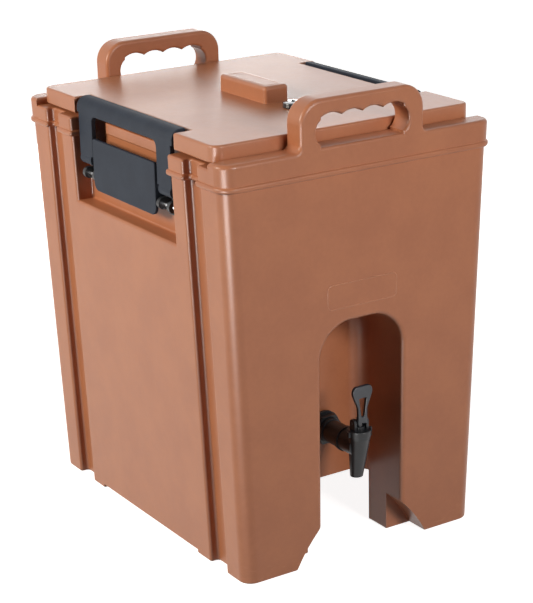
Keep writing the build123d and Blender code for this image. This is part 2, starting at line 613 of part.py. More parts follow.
def rod_x(radius, x0, x1, y, z):
    """A round bar along X."""
    return Pos((x0 + x1) / 2, y, z) * Rot(0, 90, 0) * Cylinder(radius, abs(x1 - x0))


def rod_y(radius, y0, y1, x, z):
    """A round bar along Y."""
    return Pos(x, (y0 + y1) / 2, z) * Rot(90, 0, 0) * Cylinder(radius, abs(y1 - y0))


def along_y(radius, x, z):
    """A round cutter along Y, longer than the whole casing."""
    return rod_y(radius, -BEAD_DEPTH, BEAD_DEPTH, x, z)


def rod_z(radius, z0, z1, x, y):
    """A round bar along Z."""
    return Pos(x, y, (z0 + z1) / 2) * Cylinder(radius, abs(z1 - z0))


def to_side(solid, side):
    """The solid as it is on the right (side 1), or mirrored to the left (side -1)."""
    return solid if side > 0 else mirror(solid, about=Plane.YZ)


def screw_places():
    """Height and distance along Y of each bracket screw on one side."""
    middle = (EAR_FIRST + EAR_THICKNESS + EAR_SECOND) / 2
    places = []
    for end in (-1, 1):
        for z in (BRACKET_BOTTOM + BRACKET_SCREW_LOW, BRACKET_BOTTOM + BRACKET_SCREW_HIGH):
            places.append((end * middle, z))
    return places


def outer_shell():
    """The whole moulded casing: hollow, open over the tank, with holes for the tap and the screws."""
    shell = lower_casing() + bead() + collar()
    for side in (-1, 1):
        x0, x1 = sorted((side * (POCKET_WALL_X - OVER), side * (POCKET_WALL_X + STRIKE_PROUD)))
        strike = block(x0, x1, -STRIKE_HALF, STRIKE_HALF, SIDE_RIM_Z - STRIKE_HEIGHT, SIDE_RIM_Z)
        edges = edges_where(strike, lambda p: near(abs(p.X), POCKET_WALL_X + STRIKE_PROUD))
        shell += fillet(edges, STRIKE_ROUND)
    shell -= casing_form(WALL)
    shell -= rounded_box(FLANGE_X + FIT, FLANGE_Y + FIT, SIDE_RIM_Z - 2 * WALL, SIDE_RIM_Z + WALL,
                         FLANGE_ROUND + FIT)
    shell -= rod_y(SHANK_RADIUS + FIT, RECESS_BACK_Y - WALL, RECESS_BACK_Y + 2 * WALL, 0, TAP_Z)
    for y, z in screw_places():
        shell -= rod_x(BRACKET_SCREW_RADIUS + SCREW_CLEARANCE, -BEAD_WIDTH / 2, BEAD_WIDTH / 2, y, z)
    return shell


def inner_tank():
    """The drink's tank, hung in the casing's rim by its flange, with the hole for the tap's shank."""
    outside = tank_form(0, TANK_FLOOR - TANK_WALL, SIDE_RIM_Z)
    outside += rounded_box(FLANGE_X, FLANGE_Y, SIDE_RIM_Z - TANK_WALL, SIDE_RIM_Z, FLANGE_ROUND)
    tank = outside - tank_form(TANK_WALL, TANK_FLOOR, SIDE_RIM_Z + TANK_WALL)
    return tank - rod_y(SHANK_RADIUS + FIT, BULGE_Y - TANK_WALL, BULGE_Y + 2 * TANK_WALL, 0, TAP_Z)


def insulation_foam():
    """Foam that fills the casing round the tank."""
    foam = casing_form(WALL + FIT)
    foam -= tank_form(-FIT, TANK_FLOOR - TANK_WALL - FIT, SIDE_RIM_Z + TANK_WALL)
    return foam - rod_y(SHANK_RADIUS + FIT, RECESS_BACK_Y, BULGE_Y + WALL, 0, TAP_Z)


def lid_ledge_cutter(inset):
    """Cutter of the lid's long edge on the right, which leaves the ledge that a hook bears on."""
    edge_x = LEDGE_EDGE_X - inset
    ledge_x = LEDGE_X - inset
    ledge_z = LEDGE_Z - inset
    far = LID_WIDTH / 2 + FLARE
    outline = FilletPolyline((ledge_x, LID_TOP + FLARE), (ledge_x, ledge_z), (edge_x, ledge_z),
                             (edge_x, LID_BOTTOM - FLARE), (far, LID_BOTTOM - FLARE), (far, LID_TOP + FLARE),
                             radius=[0, LEDGE_FOOT_ROUND + inset, LEDGE_ROUND - inset, 0, 0, 0], close=True)
    half = POCKET_HALF + inset
    return Pos(0, -half, 0) * extrude(Plane.XZ * make_face(outline), amount=2 * half, dir=(0, 1, 0))


def lid_form(inset):
    """Form of the lid's slab with its two ledges, moved inwards by inset all over."""
    slab = rounded_box(LID_WIDTH / 2 - inset, LID_LENGTH / 2 - inset, LID_BOTTOM + inset, LID_TOP - inset,
                       LID_CORNER - inset)
    cutter = lid_ledge_cutter(inset)
    return slab - cutter - mirror(cutter, about=Plane.YZ)


def lid_plug(inset):
    """Part of the lid that reaches down into the tank's mouth."""
    radius = TANK_ROUND - TANK_WALL - PLUG_GAP
    return rounded_box(PLUG_X - inset, PLUG_Y - inset, PLUG_BOTTOM + inset, LID_BOTTOM + 2 * inset + OVER,
                       radius - inset)


def lid_block(inset):
    """Raised block on the lid."""
    half = BLOCK_WIDTH / 2 - inset
    top = LID_TOP + BLOCK_HEIGHT - inset
    body = block(-half, half, BLOCK_FRONT_Y + inset, BLOCK_BACK_Y - inset, LID_TOP - 2 * LID_WALL, top)
    soft = edges_where(body, lambda p: p.Z > LID_TOP - LID_WALL)
    return fillet(soft, BLOCK_ROUND - inset)


def lid_shell():
    """The hollow lid, with its ledges, its raised block and the holes for the vent."""
    slab = lid_form(0)
    slab = fillet(edges_where(slab, lambda p: near(p.Z, LID_TOP)), LID_EDGE_ROUND)
    slab = fillet(edges_where(slab, lambda p: near(p.Z, LID_BOTTOM)), LID_UNDER_ROUND)
    shell = slab + lid_plug(0) + lid_block(0)
    shell -= lid_form(LID_WALL) + lid_plug(LID_WALL) + lid_block(LID_WALL)
    return shell - rod_z(VENT_TUBE_RADIUS + FIT, PLUG_BOTTOM - OVER, LID_TOP + OVER, 0, VENT_Y)


def lid_foam():
    """Foam inside the hollow lid."""
    inset = LID_WALL + FIT
    foam = lid_form(inset) + lid_plug(inset) + lid_block(inset)
    return foam - rod_z(VENT_TUBE_RADIUS + FIT, PLUG_BOTTOM - OVER, LID_TOP + OVER, 0, VENT_Y)


def lid_gasket():
    """Seal under the lid that meets the tank's flange."""
    half = GASKET_WIDTH / 2
    middle_x = TANK_OUT_X
    middle_y = TANK_OUT_Y - half
    low = SIDE_RIM_Z + FIT
    ring = rounded_box(middle_x + half, middle_y + half, low, LID_BOTTOM, TANK_ROUND + half)
    ring -= rounded_box(middle_x - half, middle_y - half, low - OVER, LID_BOTTOM + OVER, TANK_ROUND - half)
    return fillet(edges_where(ring, lambda p: near(p.Z, low)), GASKET_ROUND)


def vent_parts():
    """The vent's tube, nut, seal and cap, which share one upright axis."""
    seal_top = LID_TOP + VENT_SEAL_THICKNESS
    flange_top = seal_top + VENT_FLANGE_THICKNESS
    seal = rod_z(VENT_FLANGE_RADIUS, LID_TOP, seal_top, 0, VENT_Y)
    seal -= rod_z(VENT_TUBE_RADIUS + FIT, LID_TOP - OVER, seal_top + OVER, 0, VENT_Y)

    tube_bottom = PLUG_BOTTOM - VENT_NUT_HEIGHT - VENT_TUBE_STICKOUT
    tube = rod_z(VENT_TUBE_RADIUS, tube_bottom, flange_top, 0, VENT_Y)
    tube += rod_z(VENT_FLANGE_RADIUS, seal_top, flange_top, 0, VENT_Y)
    tube -= rod_z(VENT_BORE_RADIUS, tube_bottom - OVER, flange_top + OVER, 0, VENT_Y)

    nut = Pos(0, VENT_Y, PLUG_BOTTOM - VENT_NUT_HEIGHT) * extrude(
        RegularPolygon(VENT_NUT_RADIUS, 6), amount=VENT_NUT_HEIGHT)
    nut_bottom = PLUG_BOTTOM - VENT_NUT_HEIGHT - OVER
    nut -= rod_z(VENT_TUBE_RADIUS + SCREW_CLEARANCE, nut_bottom, PLUG_BOTTOM + OVER, 0, VENT_Y)

    cap_bottom = LID_TOP + VENT_CAP_GAP
    cap_top = cap_bottom + VENT_CAP_HEIGHT
    cap = rod_z(VENT_CAP_RADIUS, cap_bottom, cap_top, 0, VENT_Y)
    cap = fillet(edges_where(cap, lambda p: near(p.Z, cap_top)), VENT_CAP_ROUND)
    cap -= rod_z(VENT_CAP_RADIUS - VENT_CAP_WALL, cap_bottom - OVER, cap_top - VENT_CAP_WALL, 0, VENT_Y)
    cap += rod_z(VENT_HUB_RADIUS, flange_top + FIT, cap_top - VENT_CAP_WALL / 2, 0, VENT_Y)
    post_radius = VENT_BORE_RADIUS - PIN_CLEARANCE
    post = rod_z(post_radius, flange_top - VENT_POST_DEPTH, flange_top + OVER, 0, VENT_Y)
    post -= Pos(post_radius, VENT_Y, flange_top - VENT_POST_DEPTH) * Box(post_radius, 2 * VENT_BORE_RADIUS,
                                                                          2 * (VENT_POST_DEPTH - OVER))
    return tube, nut, seal, cap + post


def latch_hook():
    """Right latch hook: a wide bar that reaches over the lid's ledge, on two arms with lugs for the pin."""
    profile = FilletPolyline((HOOK_FACE_X, HOOK_BAR_BOTTOM), (HOOK_FACE_X, HOOK_TOP), (HOOK_TIP_X, HOOK_TOP),
                             (HOOK_TIP_X, HOOK_TOP - HOOK_CURL), (HOOK_INNER_X, HOOK_TOP - HOOK_CURL),
                             (HOOK_INNER_X, HOOK_BAR_BOTTOM),
                             radius=[0, HOOK_CURL_ROUND, HOOK_TIP_ROUND, HOOK_TIP_ROUND, HOOK_INNER_ROUND, 0],
                             close=True)
    hook = Pos(0, -HOOK_HALF, 0) * extrude(Plane.XZ * make_face(profile), amount=2 * HOOK_HALF, dir=(0, 1, 0))
    for end in (-1, 1):
        y0, y1 = sorted((end * HOOK_ARM_INNER, end * HOOK_ARM_OUTER))
        hook += block(HOOK_INNER_X, HOOK_FACE_X, y0, y1, HOOK_ARM_BOTTOM, HOOK_BAR_BOTTOM + OVER)
    window = edges_where(hook, lambda p: near(p.Z, HOOK_BAR_BOTTOM) and near(abs(p.Y), HOOK_ARM_INNER))
    hook = fillet(window, HOOK_WINDOW_ROUND)
    rims = edges_where(hook, lambda p: near(p.X, HOOK_FACE_X) and p.Z > HOOK_ARM_BOTTOM + OVER)
    hook = fillet(rims, HOOK_SOFT)
    for end in (-1, 1):
        y0, y1 = sorted((end * (HOOK_LUG_OUTER - HOOK_LUG_WIDTH), end * HOOK_LUG_OUTER))
        lug = rod_y(HOOK_LUG_RADIUS, y0, y1, HOOK_PIVOT_X, HOOK_PIVOT_Z)
        lug += block(HOOK_INNER_X - HOOK_LUG_WEB, HOOK_FACE_X, y0, y1, HOOK_PIVOT_Z,
                     HOOK_ARM_BOTTOM + HOOK_LUG_WEB)
        hook += lug
    return hook - along_y(HOOK_PIN_RADIUS + PIN_CLEARANCE, HOOK_PIVOT_X, HOOK_PIVOT_Z)


def latch_lever():
    """Right latch lever: a plate with two cheeks that turn on the hinge pin and carry the hook pin."""
    plate = block(LEVER_INNER_X, LEVER_FACE_X, -LEVER_HALF, LEVER_HALF, LEVER_BOTTOM, LEVER_TOP)
    low = edges_where(plate, lambda p: near(p.Z, LEVER_BOTTOM) and near(abs(p.Y), LEVER_HALF))
    plate = fillet(low, LEVER_CORNER)
    high = edges_where(plate, lambda p: near(p.Z, LEVER_TOP) and near(abs(p.Y), LEVER_HALF))
    plate = fillet(high, LEVER_TOP_CORNER)
    lever = fillet(edges_where(plate, lambda p: near(p.X, LEVER_FACE_X)), LEVER_SOFT)
    for end in (-1, 1):
        y0, y1 = sorted((end * (CHEEK_OUTER - CHEEK_THICKNESS), end * CHEEK_OUTER))
        for pivot_x, pivot_z in ((LEVER_PIVOT_X, LEVER_PIVOT_Z), (HOOK_PIVOT_X, HOOK_PIVOT_Z)):
            lever += rod_y(CHEEK_RADIUS, y0, y1, pivot_x, pivot_z)
        lever += block(LEVER_PIVOT_X - CHEEK_RADIUS, LEVER_INNER_X + OVER, y0, y1, LEVER_PIVOT_Z,
                       HOOK_PIVOT_Z)
    lever -= along_y(LEVER_PIN_RADIUS + PIN_CLEARANCE, LEVER_PIVOT_X, LEVER_PIVOT_Z)
    return lever - along_y(HOOK_PIN_RADIUS + PIN_CLEARANCE, HOOK_PIVOT_X, HOOK_PIVOT_Z)


def latch_hook_pin():
    """Right hook pin: a steel rod through the lever's cheeks and the hook's lugs."""
    half = HOOK_ARM_OUTER + HOOK_PIN_STICKOUT
    pin = rod_y(HOOK_PIN_RADIUS, -half, half, HOOK_PIVOT_X, HOOK_PIVOT_Z)
    return chamfer(edges_where(pin, lambda p: near(abs(p.Y), half)), PIN_CHAMFER)


def latch_hinge_pin():
    """Right hinge pin: a steel rod through the lever's cheeks and the brackets' ears."""
    half = EAR_SECOND + EAR_THICKNESS + HINGE_PIN_STICKOUT
    pin = rod_y(LEVER_PIN_RADIUS, -half, half, LEVER_PIVOT_X, LEVER_PIVOT_Z)
    return chamfer(edges_where(pin, lambda p: near(abs(p.Y), half)), PIN_CHAMFER)


def latch_brackets():
    """The two right brackets, each a base plate with two ears for the hinge pin."""
    base_x = POCKET_WALL_X + BRACKET_BASE
    brackets = []
    for end in (-1, 1):
        y0, y1 = sorted((end * BRACKET_NEAR, end * BRACKET_FAR))
        base = block(POCKET_WALL_X, base_x, y0, y1, BRACKET_BOTTOM, BRACKET_TOP)
        corners = edges_where(base, lambda p: near(p.X, (POCKET_WALL_X + base_x) / 2))
        bracket = fillet(corners, BRACKET_CORNER)
        for start in (EAR_FIRST, EAR_SECOND):
            e0, e1 = sorted((end * start, end * (start + EAR_THICKNESS)))
            bracket += rod_y(EAR_RADIUS, e0, e1, LEVER_PIVOT_X, LEVER_PIVOT_Z)
            bracket += block(base_x - OVER, LEVER_PIVOT_X, e0, e1, LEVER_PIVOT_Z - EAR_RADIUS,
                             LEVER_PIVOT_Z + EAR_RADIUS)
        bracket -= along_y(LEVER_PIN_RADIUS + PIN_CLEARANCE, LEVER_PIVOT_X, LEVER_PIVOT_Z)
        for y, z in screw_places():
            hole_radius = BRACKET_SCREW_RADIUS + SCREW_CLEARANCE
            bracket -= rod_x(hole_radius, POCKET_WALL_X - OVER, LEVER_PIVOT_X, y, z)
        brackets.append(bracket)
    return brackets


def bracket_screws():
    """The screws of the two right brackets."""
    screws = []
    head_x = POCKET_WALL_X + BRACKET_BASE
    for y, z in screw_places():
        head = rod_x(BRACKET_SCREW_HEAD_RADIUS, head_x, head_x + BRACKET_SCREW_HEAD_HEIGHT, y, z)
        far = edges_where(head, lambda p: near(p.X, head_x + BRACKET_SCREW_HEAD_HEIGHT))
        head = fillet(far, BRACKET_SCREW_HEAD_HEIGHT / 2)
        recess = rod_x(BRACKET_SCREW_RADIUS / 2, head_x + BRACKET_SCREW_HEAD_HEIGHT / 2, LEVER_PIVOT_X, y, z)
        shank = rod_x(BRACKET_SCREW_RADIUS, POCKET_WALL_X - BRACKET_SCREW_GRIP, head_x + OVER, y, z)
        screws.append(head - recess + shank)
    return screws


def ring_y(outer, inner, y0, y1):
    """A washer round the shank's axis."""
    return rod_y(outer, y0, y1, 0, TAP_Z) - rod_y(inner, y0 - OVER, y1 + OVER, 0, TAP_Z)


def tap_shank():
    """Hollow threaded shank through the two walls, with a flange inside the tank."""
    inlet = INLET_Y + SHANK_FLANGE_THICKNESS
    shank = rod_y(SHANK_RADIUS, SHANK_END_Y, inlet, 0, TAP_Z)
    shank += rod_y(SHANK_FLANGE_RADIUS, INLET_Y, inlet, 0, TAP_Z)
    return shank - rod_y(SHANK_BORE, SHANK_END_Y - OVER, inlet + OVER, 0, TAP_Z)


def tap_lock_nut():
    """Flanged hexagonal nut with two grip wings that clamps the shank to the casing."""
    back = NUT_FACE_Y
    front = back - NUT_HEIGHT
    nut = rod_y(NUT_RADIUS, back - NUT_FLANGE_THICKNESS, back, 0, TAP_Z)
    hexagon = Plane.XZ * RegularPolygon(NUT_FLATS / 2, 6, major_radius=False)
    nut += Pos(0, back, TAP_Z) * extrude(hexagon, amount=NUT_HEIGHT, dir=(0, -1, 0))
    wing = block(-NUT_WING_REACH, NUT_WING_REACH, front + OVER, back - OVER, -NUT_WING_THICKNESS / 2,
                 NUT_WING_THICKNESS / 2)
    tips = edges_where(wing, lambda p: near(abs(p.X), NUT_WING_REACH) and not near(p.Y, (front + back) / 2))
    wing = fillet(tips, NUT_WING_ROUND)
    nut += Pos(0, 0, TAP_Z) * Rot(0, NUT_WING_ANGLE, 0) * wing
    return nut - rod_y(SHANK_RADIUS + SCREW_CLEARANCE, front - OVER, back + OVER, 0, TAP_Z)


def spout_cone(top_radius, tip_radius, z0, z1):
    """A cone that leans back from the valve's axis to the spout's tip."""
    top = Plane((0, TAP_Y, z1)) * Circle(top_radius)
    tip = Plane((0, TAP_Y + SPOUT_TIP_SHIFT, z0)) * Circle(tip_radius)
    return loft([tip, top])


def tap_body():
    """Barrel, valve chamber and spout, with their bores."""
    body = rod_y(BARREL_RADIUS, TAP_Y, BARREL_BACK_Y, 0, TAP_Z)
    for ring_start in (BARREL_BACK_Y, (BARREL_BACK_Y + TAP_Y) / 2):
        body += rod_y(BARREL_RADIUS + BARREL_RING, ring_start - BARREL_RING_WIDTH, ring_start, 0, TAP_Z)
    body += rod_z(CHAMBER_OUTER, SPOUT_TOP_Z, CHAMBER_TOP, 0, TAP_Y)
    body += spout_cone(CHAMBER_OUTER, SPOUT_TIP_RADIUS, SPOUT_TIP_Z, SPOUT_TOP_Z)
    body -= rod_y(SHANK_RADIUS + SCREW_CLEARANCE, SHANK_END_Y, BARREL_BACK_Y + OVER, 0, TAP_Z)
    body -= rod_y(SHANK_BORE, TAP_Y, SHANK_END_Y + OVER, 0, TAP_Z)
    body -= rod_z(CHAMBER_RADIUS, CHAMBER_FLOOR, CHAMBER_TOP + OVER, 0, TAP_Y)
    bore_top = Plane((0, TAP_Y, CHAMBER_FLOOR + OVER)) * Circle(SPOUT_BORE_TOP)
    bore_tip = Plane((0, TAP_Y + SPOUT_TIP_SHIFT, SPOUT_TIP_Z - OVER)) * Circle(SPOUT_BORE_TIP)
    return body - loft([bore_tip, bore_top])


def tap_bonnet():
    """Screwed top of the chamber, with the neck that guides the stem and two ears for the handle's pin."""
    bonnet = rod_z(BONNET_RADIUS, CHAMBER_TOP, BONNET_TOP, 0, TAP_Y)
    bonnet = fillet(edges_where(bonnet, lambda p: near(p.Z, BONNET_TOP)), BONNET_ROUND)
    bonnet += block(-BONNET_WING_REACH, BONNET_WING_REACH, TAP_Y - BONNET_WING_THICKNESS / 2,
                    TAP_Y + BONNET_WING_THICKNESS / 2, CHAMBER_TOP, BONNET_TOP - OVER)
    bonnet += rod_z(BONNET_NECK_RADIUS, BONNET_TOP - BONNET_ROUND, BONNET_TOP + BONNET_NECK_HEIGHT, 0, TAP_Y)
    bonnet += rod_z(CHAMBER_RADIUS - SCREW_CLEARANCE, CHAMBER_TOP - BONNET_PLUG, CHAMBER_TOP + OVER, 0, TAP_Y)
    for side in (-1, 1):
        x0, x1 = sorted((side * TAP_EAR_INNER, side * TAP_EAR_OUTER))
        bonnet += rod_x(TAP_EAR_RADIUS, x0, x1, TAP_Y, TAP_PIVOT_Z)
        bonnet += block(x0, x1, TAP_Y - TAP_EAR_RADIUS, TAP_Y + TAP_EAR_RADIUS, BONNET_TOP - BONNET_ROUND,
                        TAP_PIVOT_Z)
    bonnet -= rod_x(TAP_PIN_RADIUS + PIN_CLEARANCE, -BONNET_RADIUS, BONNET_RADIUS, TAP_Y, TAP_PIVOT_Z)
    return bonnet - rod_z(STEM_RADIUS + PIN_CLEARANCE, CHAMBER_TOP - BONNET_PLUG - OVER, STEM_TOP, 0, TAP_Y)


def tap_stem():
    """Valve stem: a rod with a spring collar below and a flat head, slotted for the pin, above."""
    collar_low = CHAMBER_FLOOR + FIT + CUP_HEIGHT
    stem = rod_z(STEM_RADIUS, collar_low - CUP_HEIGHT / 2, STEM_TOP, 0, TAP_Y)
    stem += rod_z(STEM_COLLAR_RADIUS, collar_low, collar_low + STEM_COLLAR_THICKNESS, 0, TAP_Y)
    for side in (-1, 1):
        x0, x1 = sorted((side * STEM_HEAD_HALF, side * 2 * STEM_RADIUS))
        stem -= block(x0, x1, TAP_Y - 2 * STEM_RADIUS, TAP_Y + 2 * STEM_RADIUS, BONNET_TOP, STEM_TOP + OVER)
    slot_radius = TAP_PIN_RADIUS + STEM_SLOT_GAP
    stem -= rod_x(slot_radius, -STEM_RADIUS, STEM_RADIUS, TAP_Y, TAP_PIVOT_Z)
    stem -= rod_x(slot_radius, -STEM_RADIUS, STEM_RADIUS, TAP_Y, TAP_PIVOT_Z - STEM_LIFT)
    return stem - block(-STEM_RADIUS, STEM_RADIUS, TAP_Y - slot_radius, TAP_Y + slot_radius,
                        TAP_PIVOT_Z - STEM_LIFT, TAP_PIVOT_Z)


def tap_seat_cup():
    """Soft cup on the stem's foot that closes the outlet."""
    low = CHAMBER_FLOOR + FIT
    cup = rod_z(CUP_RADIUS, low, low + CUP_HEIGHT, 0, TAP_Y)
    cup = fillet(edges_where(cup, lambda p: near(p.Z, low)), CUP_ROUND)
    bore_low = low + CUP_HEIGHT / 2
    return cup - rod_z(STEM_RADIUS + PIN_CLEARANCE, bore_low, low + CUP_HEIGHT + OVER, 0, TAP_Y)


def tap_spring():
    """Coil spring between the stem's collar and the bonnet."""
    low = CHAMBER_FLOOR + FIT + CUP_HEIGHT + STEM_COLLAR_THICKNESS + FIT + SPRING_WIRE_RADIUS
    high = CHAMBER_TOP - BONNET_PLUG - FIT - SPRING_WIRE_RADIUS
    path = Pos(0, TAP_Y, low) * Helix((high - low) / SPRING_TURNS, high - low, SPRING_RADIUS)
    section = Plane(origin=path @ 0, z_dir=path % 0) * Circle(SPRING_WIRE_RADIUS)
    return sweep(section, path=path)


def tap_handle():
    """Pull handle: two prongs on the pin, a bridge in front of the stem, and a loop with a tapered hole."""
    front = TAP_Y - HANDLE_FRONT
    back = front + HANDLE_THICKNESS
    right = [(PRONG_OUTER, TAP_PIVOT_Z), (PRONG_OUTER, LOOP_WAIST_Z), (LOOP_HALF, LOOP_WIDE_Z),
             (LOOP_HALF, LOOP_TOP_Z)]
    left = [(-x, z) for x, z in reversed(right)]
    radii = [0, LOOP_BEND, LOOP_CHIN, LOOP_CROWN]
    outline = FilletPolyline(*right, *left, radius=radii + radii[::-1], close=True)
    hole_top = LOOP_TOP_Z - LOOP_BAR
    hole = FilletPolyline((LOOP_HOLE_BOTTOM_HALF, LOOP_BOTTOM_Z), (LOOP_HOLE_TOP_HALF, hole_top),
                          (-LOOP_HOLE_TOP_HALF, hole_top), (-LOOP_HOLE_BOTTOM_HALF, LOOP_BOTTOM_Z),
                          radius=LOOP_HOLE_ROUND, close=True)
    plate = Pos(0, front, 0) * extrude(Plane.XZ * make_face(outline), amount=HANDLE_THICKNESS, dir=(0, 1, 0))
    plate -= Pos(0, front - OVER, 0) * extrude(Plane.XZ * make_face(hole), amount=HANDLE_THICKNESS + 2 * OVER,
                                            dir=(0, 1, 0))
    plate -= block(-PRONG_INNER, PRONG_INNER, front - OVER, back + OVER, TAP_PIVOT_Z - OVER, BRIDGE_Z)
    faces = edges_where(plate, lambda p: near(p.Y, front) and p.Z > BRIDGE_Z + OVER)
    handle = fillet(faces, HANDLE_SOFT)
    for side in (-1, 1):
        x0, x1 = sorted((side * PRONG_INNER, side * PRONG_OUTER))
        handle += rod_x(PRONG_RADIUS, x0, x1, TAP_Y, TAP_PIVOT_Z)
        handle += block(x0, x1, front + HANDLE_SOFT, TAP_Y, TAP_PIVOT_Z, TAP_PIVOT_Z + PRONG_RADIUS)
    return handle - rod_x(TAP_PIN_RADIUS + PIN_CLEARANCE, -BONNET_RADIUS, BONNET_RADIUS, TAP_Y, TAP_PIVOT_Z)


def save(name, *solids):
    """Write one node's STEP file, with its solids side by side."""
    shape = solids[0] if len(solids) == 1 else Compound(children=list(solids))
    export_step(shape, os.path.join("parts", name + ".step"))


def main():
    """Build every piece and write its file."""
    os.makedirs("parts", exist_ok=True)
    save("outer_shell", outer_shell())
    save("insulation_foam", insulation_foam())
    save("inner_tank", inner_tank())

    save("lid_shell", lid_shell())
    save("lid_foam", lid_foam())
    save("lid_gasket", lid_gasket())
    tube, nut, seal, cap = vent_parts()
    save("vent_tube", tube)
    save("vent_tube_nut", nut)
    save("vent_seal", seal)
    save("vent_cap", cap)

    hinge_pins = []
    screws = []
    for name, side in (("left", -1), ("right", 1)):
        save(name + "_latch_hook", to_side(latch_hook(), side))
        save(name + "_latch_lever", to_side(latch_lever(), side))
        save(name + "_latch_hook_pin", to_side(latch_hook_pin(), side))
        save(name + "_latch_brackets", *[to_side(bracket, side) for bracket in latch_brackets()])
        hinge_pins.append(to_side(latch_hinge_pin(), side))
        screws.extend(to_side(screw, side) for screw in bracket_screws())
    save("latch_hinge_pins", *hinge_pins)
    save("latch_bracket_screws", *screws)

    save("tap_shank", tap_shank())
    save("tap_inner_washer", ring_y(SHANK_FLANGE_RADIUS, SHANK_RADIUS + FIT, BULGE_Y + TANK_WALL, INLET_Y))
    save("tap_outer_washer", ring_y(WASHER_RADIUS, SHANK_RADIUS + FIT, NUT_FACE_Y, RECESS_BACK_Y))
    save("tap_lock_nut", tap_lock_nut())
    save("tap_body", tap_body())
    save("tap_bonnet", tap_bonnet())
    save("tap_stem", tap_stem())
    save("tap_seat_cup", tap_seat_cup())
    save("tap_spring", tap_spring())
    save("tap_handle_pin", rod_x(TAP_PIN_RADIUS, -TAP_EAR_OUTER - TAP_PIN_STICKOUT,
                                 TAP_EAR_OUTER + TAP_PIN_STICKOUT, TAP_Y, TAP_PIVOT_Z))
    save("tap_handle", tap_handle())


main()
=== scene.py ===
"""Looks of an insulated beverage dispenser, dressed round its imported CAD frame.

The casing, lid, latches and tap keep their CAD solids and get procedural finishes. Fine pieces that the
solids leave out are built here as surfaces on a grid: the beads round the bare panels, the ribbed vent
cap and the tap's spring. Every place comes from the frame.

Metres; X runs across the front, the tap faces -Y and Z is up.
"""

import logging
import math
from dataclasses import dataclass
from enum import Enum
from typing import Any, Optional, Union

import bpy
import numpy as np
from mathutils import Matrix, Vector
from mathutils.bvhtree import BVHTree


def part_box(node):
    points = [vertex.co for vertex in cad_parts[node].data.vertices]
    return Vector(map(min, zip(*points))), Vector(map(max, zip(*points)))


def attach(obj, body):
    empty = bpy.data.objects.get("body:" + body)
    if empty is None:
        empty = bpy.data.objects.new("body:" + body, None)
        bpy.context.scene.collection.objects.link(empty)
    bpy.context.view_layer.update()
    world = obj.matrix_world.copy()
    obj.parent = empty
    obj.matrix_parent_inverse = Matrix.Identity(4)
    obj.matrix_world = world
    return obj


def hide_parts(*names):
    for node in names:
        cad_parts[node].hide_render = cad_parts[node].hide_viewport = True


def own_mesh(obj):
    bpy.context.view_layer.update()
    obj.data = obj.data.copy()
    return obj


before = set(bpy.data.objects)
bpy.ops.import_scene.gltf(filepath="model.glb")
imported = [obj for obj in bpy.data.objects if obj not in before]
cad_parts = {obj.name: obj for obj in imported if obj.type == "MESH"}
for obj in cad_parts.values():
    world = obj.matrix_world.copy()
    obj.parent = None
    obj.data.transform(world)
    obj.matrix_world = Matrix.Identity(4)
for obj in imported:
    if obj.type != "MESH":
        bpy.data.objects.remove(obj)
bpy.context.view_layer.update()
LOG = logging.getLogger("dispenser")
MM = 0.001
PLASTIC_IOR = 1.5
BEVEL_SAMPLES = 4
EDGE_SHARPNESS = 5.0
CORNER_POINTS = 8

Triple = tuple[float, float, float]
Colour = Triple


class Side(Enum):
    """The two long sides of the casing."""

    LEFT = -1
    RIGHT = 1

    @property
    def prefix(self) -> str:
        """First word of the node and body names on this side."""
        return self.name.lower()


# ------------------------------------------------------------------------------------------ shader maths


class Signal:
    """A value inside a material, whose arithmetic adds Math nodes."""

    def __init__(self, graph: "ShaderGraph", socket: bpy.types.NodeSocket) -> None:
        """Wraps one output socket.

        Args:
            graph: The material's graph.
            socket: The output socket that carries the value.
        """
        self.graph = graph
        self.socket = socket

    def _math(self, operation: str, first: Any, second: Any) -> "Signal":
        """Adds a Math node and returns its result."""
        return self.graph.add("ShaderNodeMath", {"operation": operation}, {0: first, 1: second})

    def __add__(self, other: Any) -> "Signal":
        """This plus other."""
        return self._math("ADD", self, other)

    def __radd__(self, other: Any) -> "Signal":
        """Other plus this."""
        return self._math("ADD", other, self)

    def __sub__(self, other: Any) -> "Signal":
        """This minus other."""
        return self._math("SUBTRACT", self, other)

    def __rsub__(self, other: Any) -> "Signal":
        """Other minus this."""
        return self._math("SUBTRACT", other, self)

    def __mul__(self, other: Any) -> "Signal":
        """This times other."""
        return self._math("MULTIPLY", self, other)

    def between(self, low: float, high: float) -> "Signal":
        """Runs smoothly from 0 at low to 1 at high.

        Args:
            low: The value that becomes 0.
            high: The value that becomes 1.

        Returns:
            The smoothed step.
        """
        settings = {"interpolation_type": "SMOOTHSTEP"}
        return self.graph.add("ShaderNodeMapRange", settings, {0: self, 1: low, 2: high})


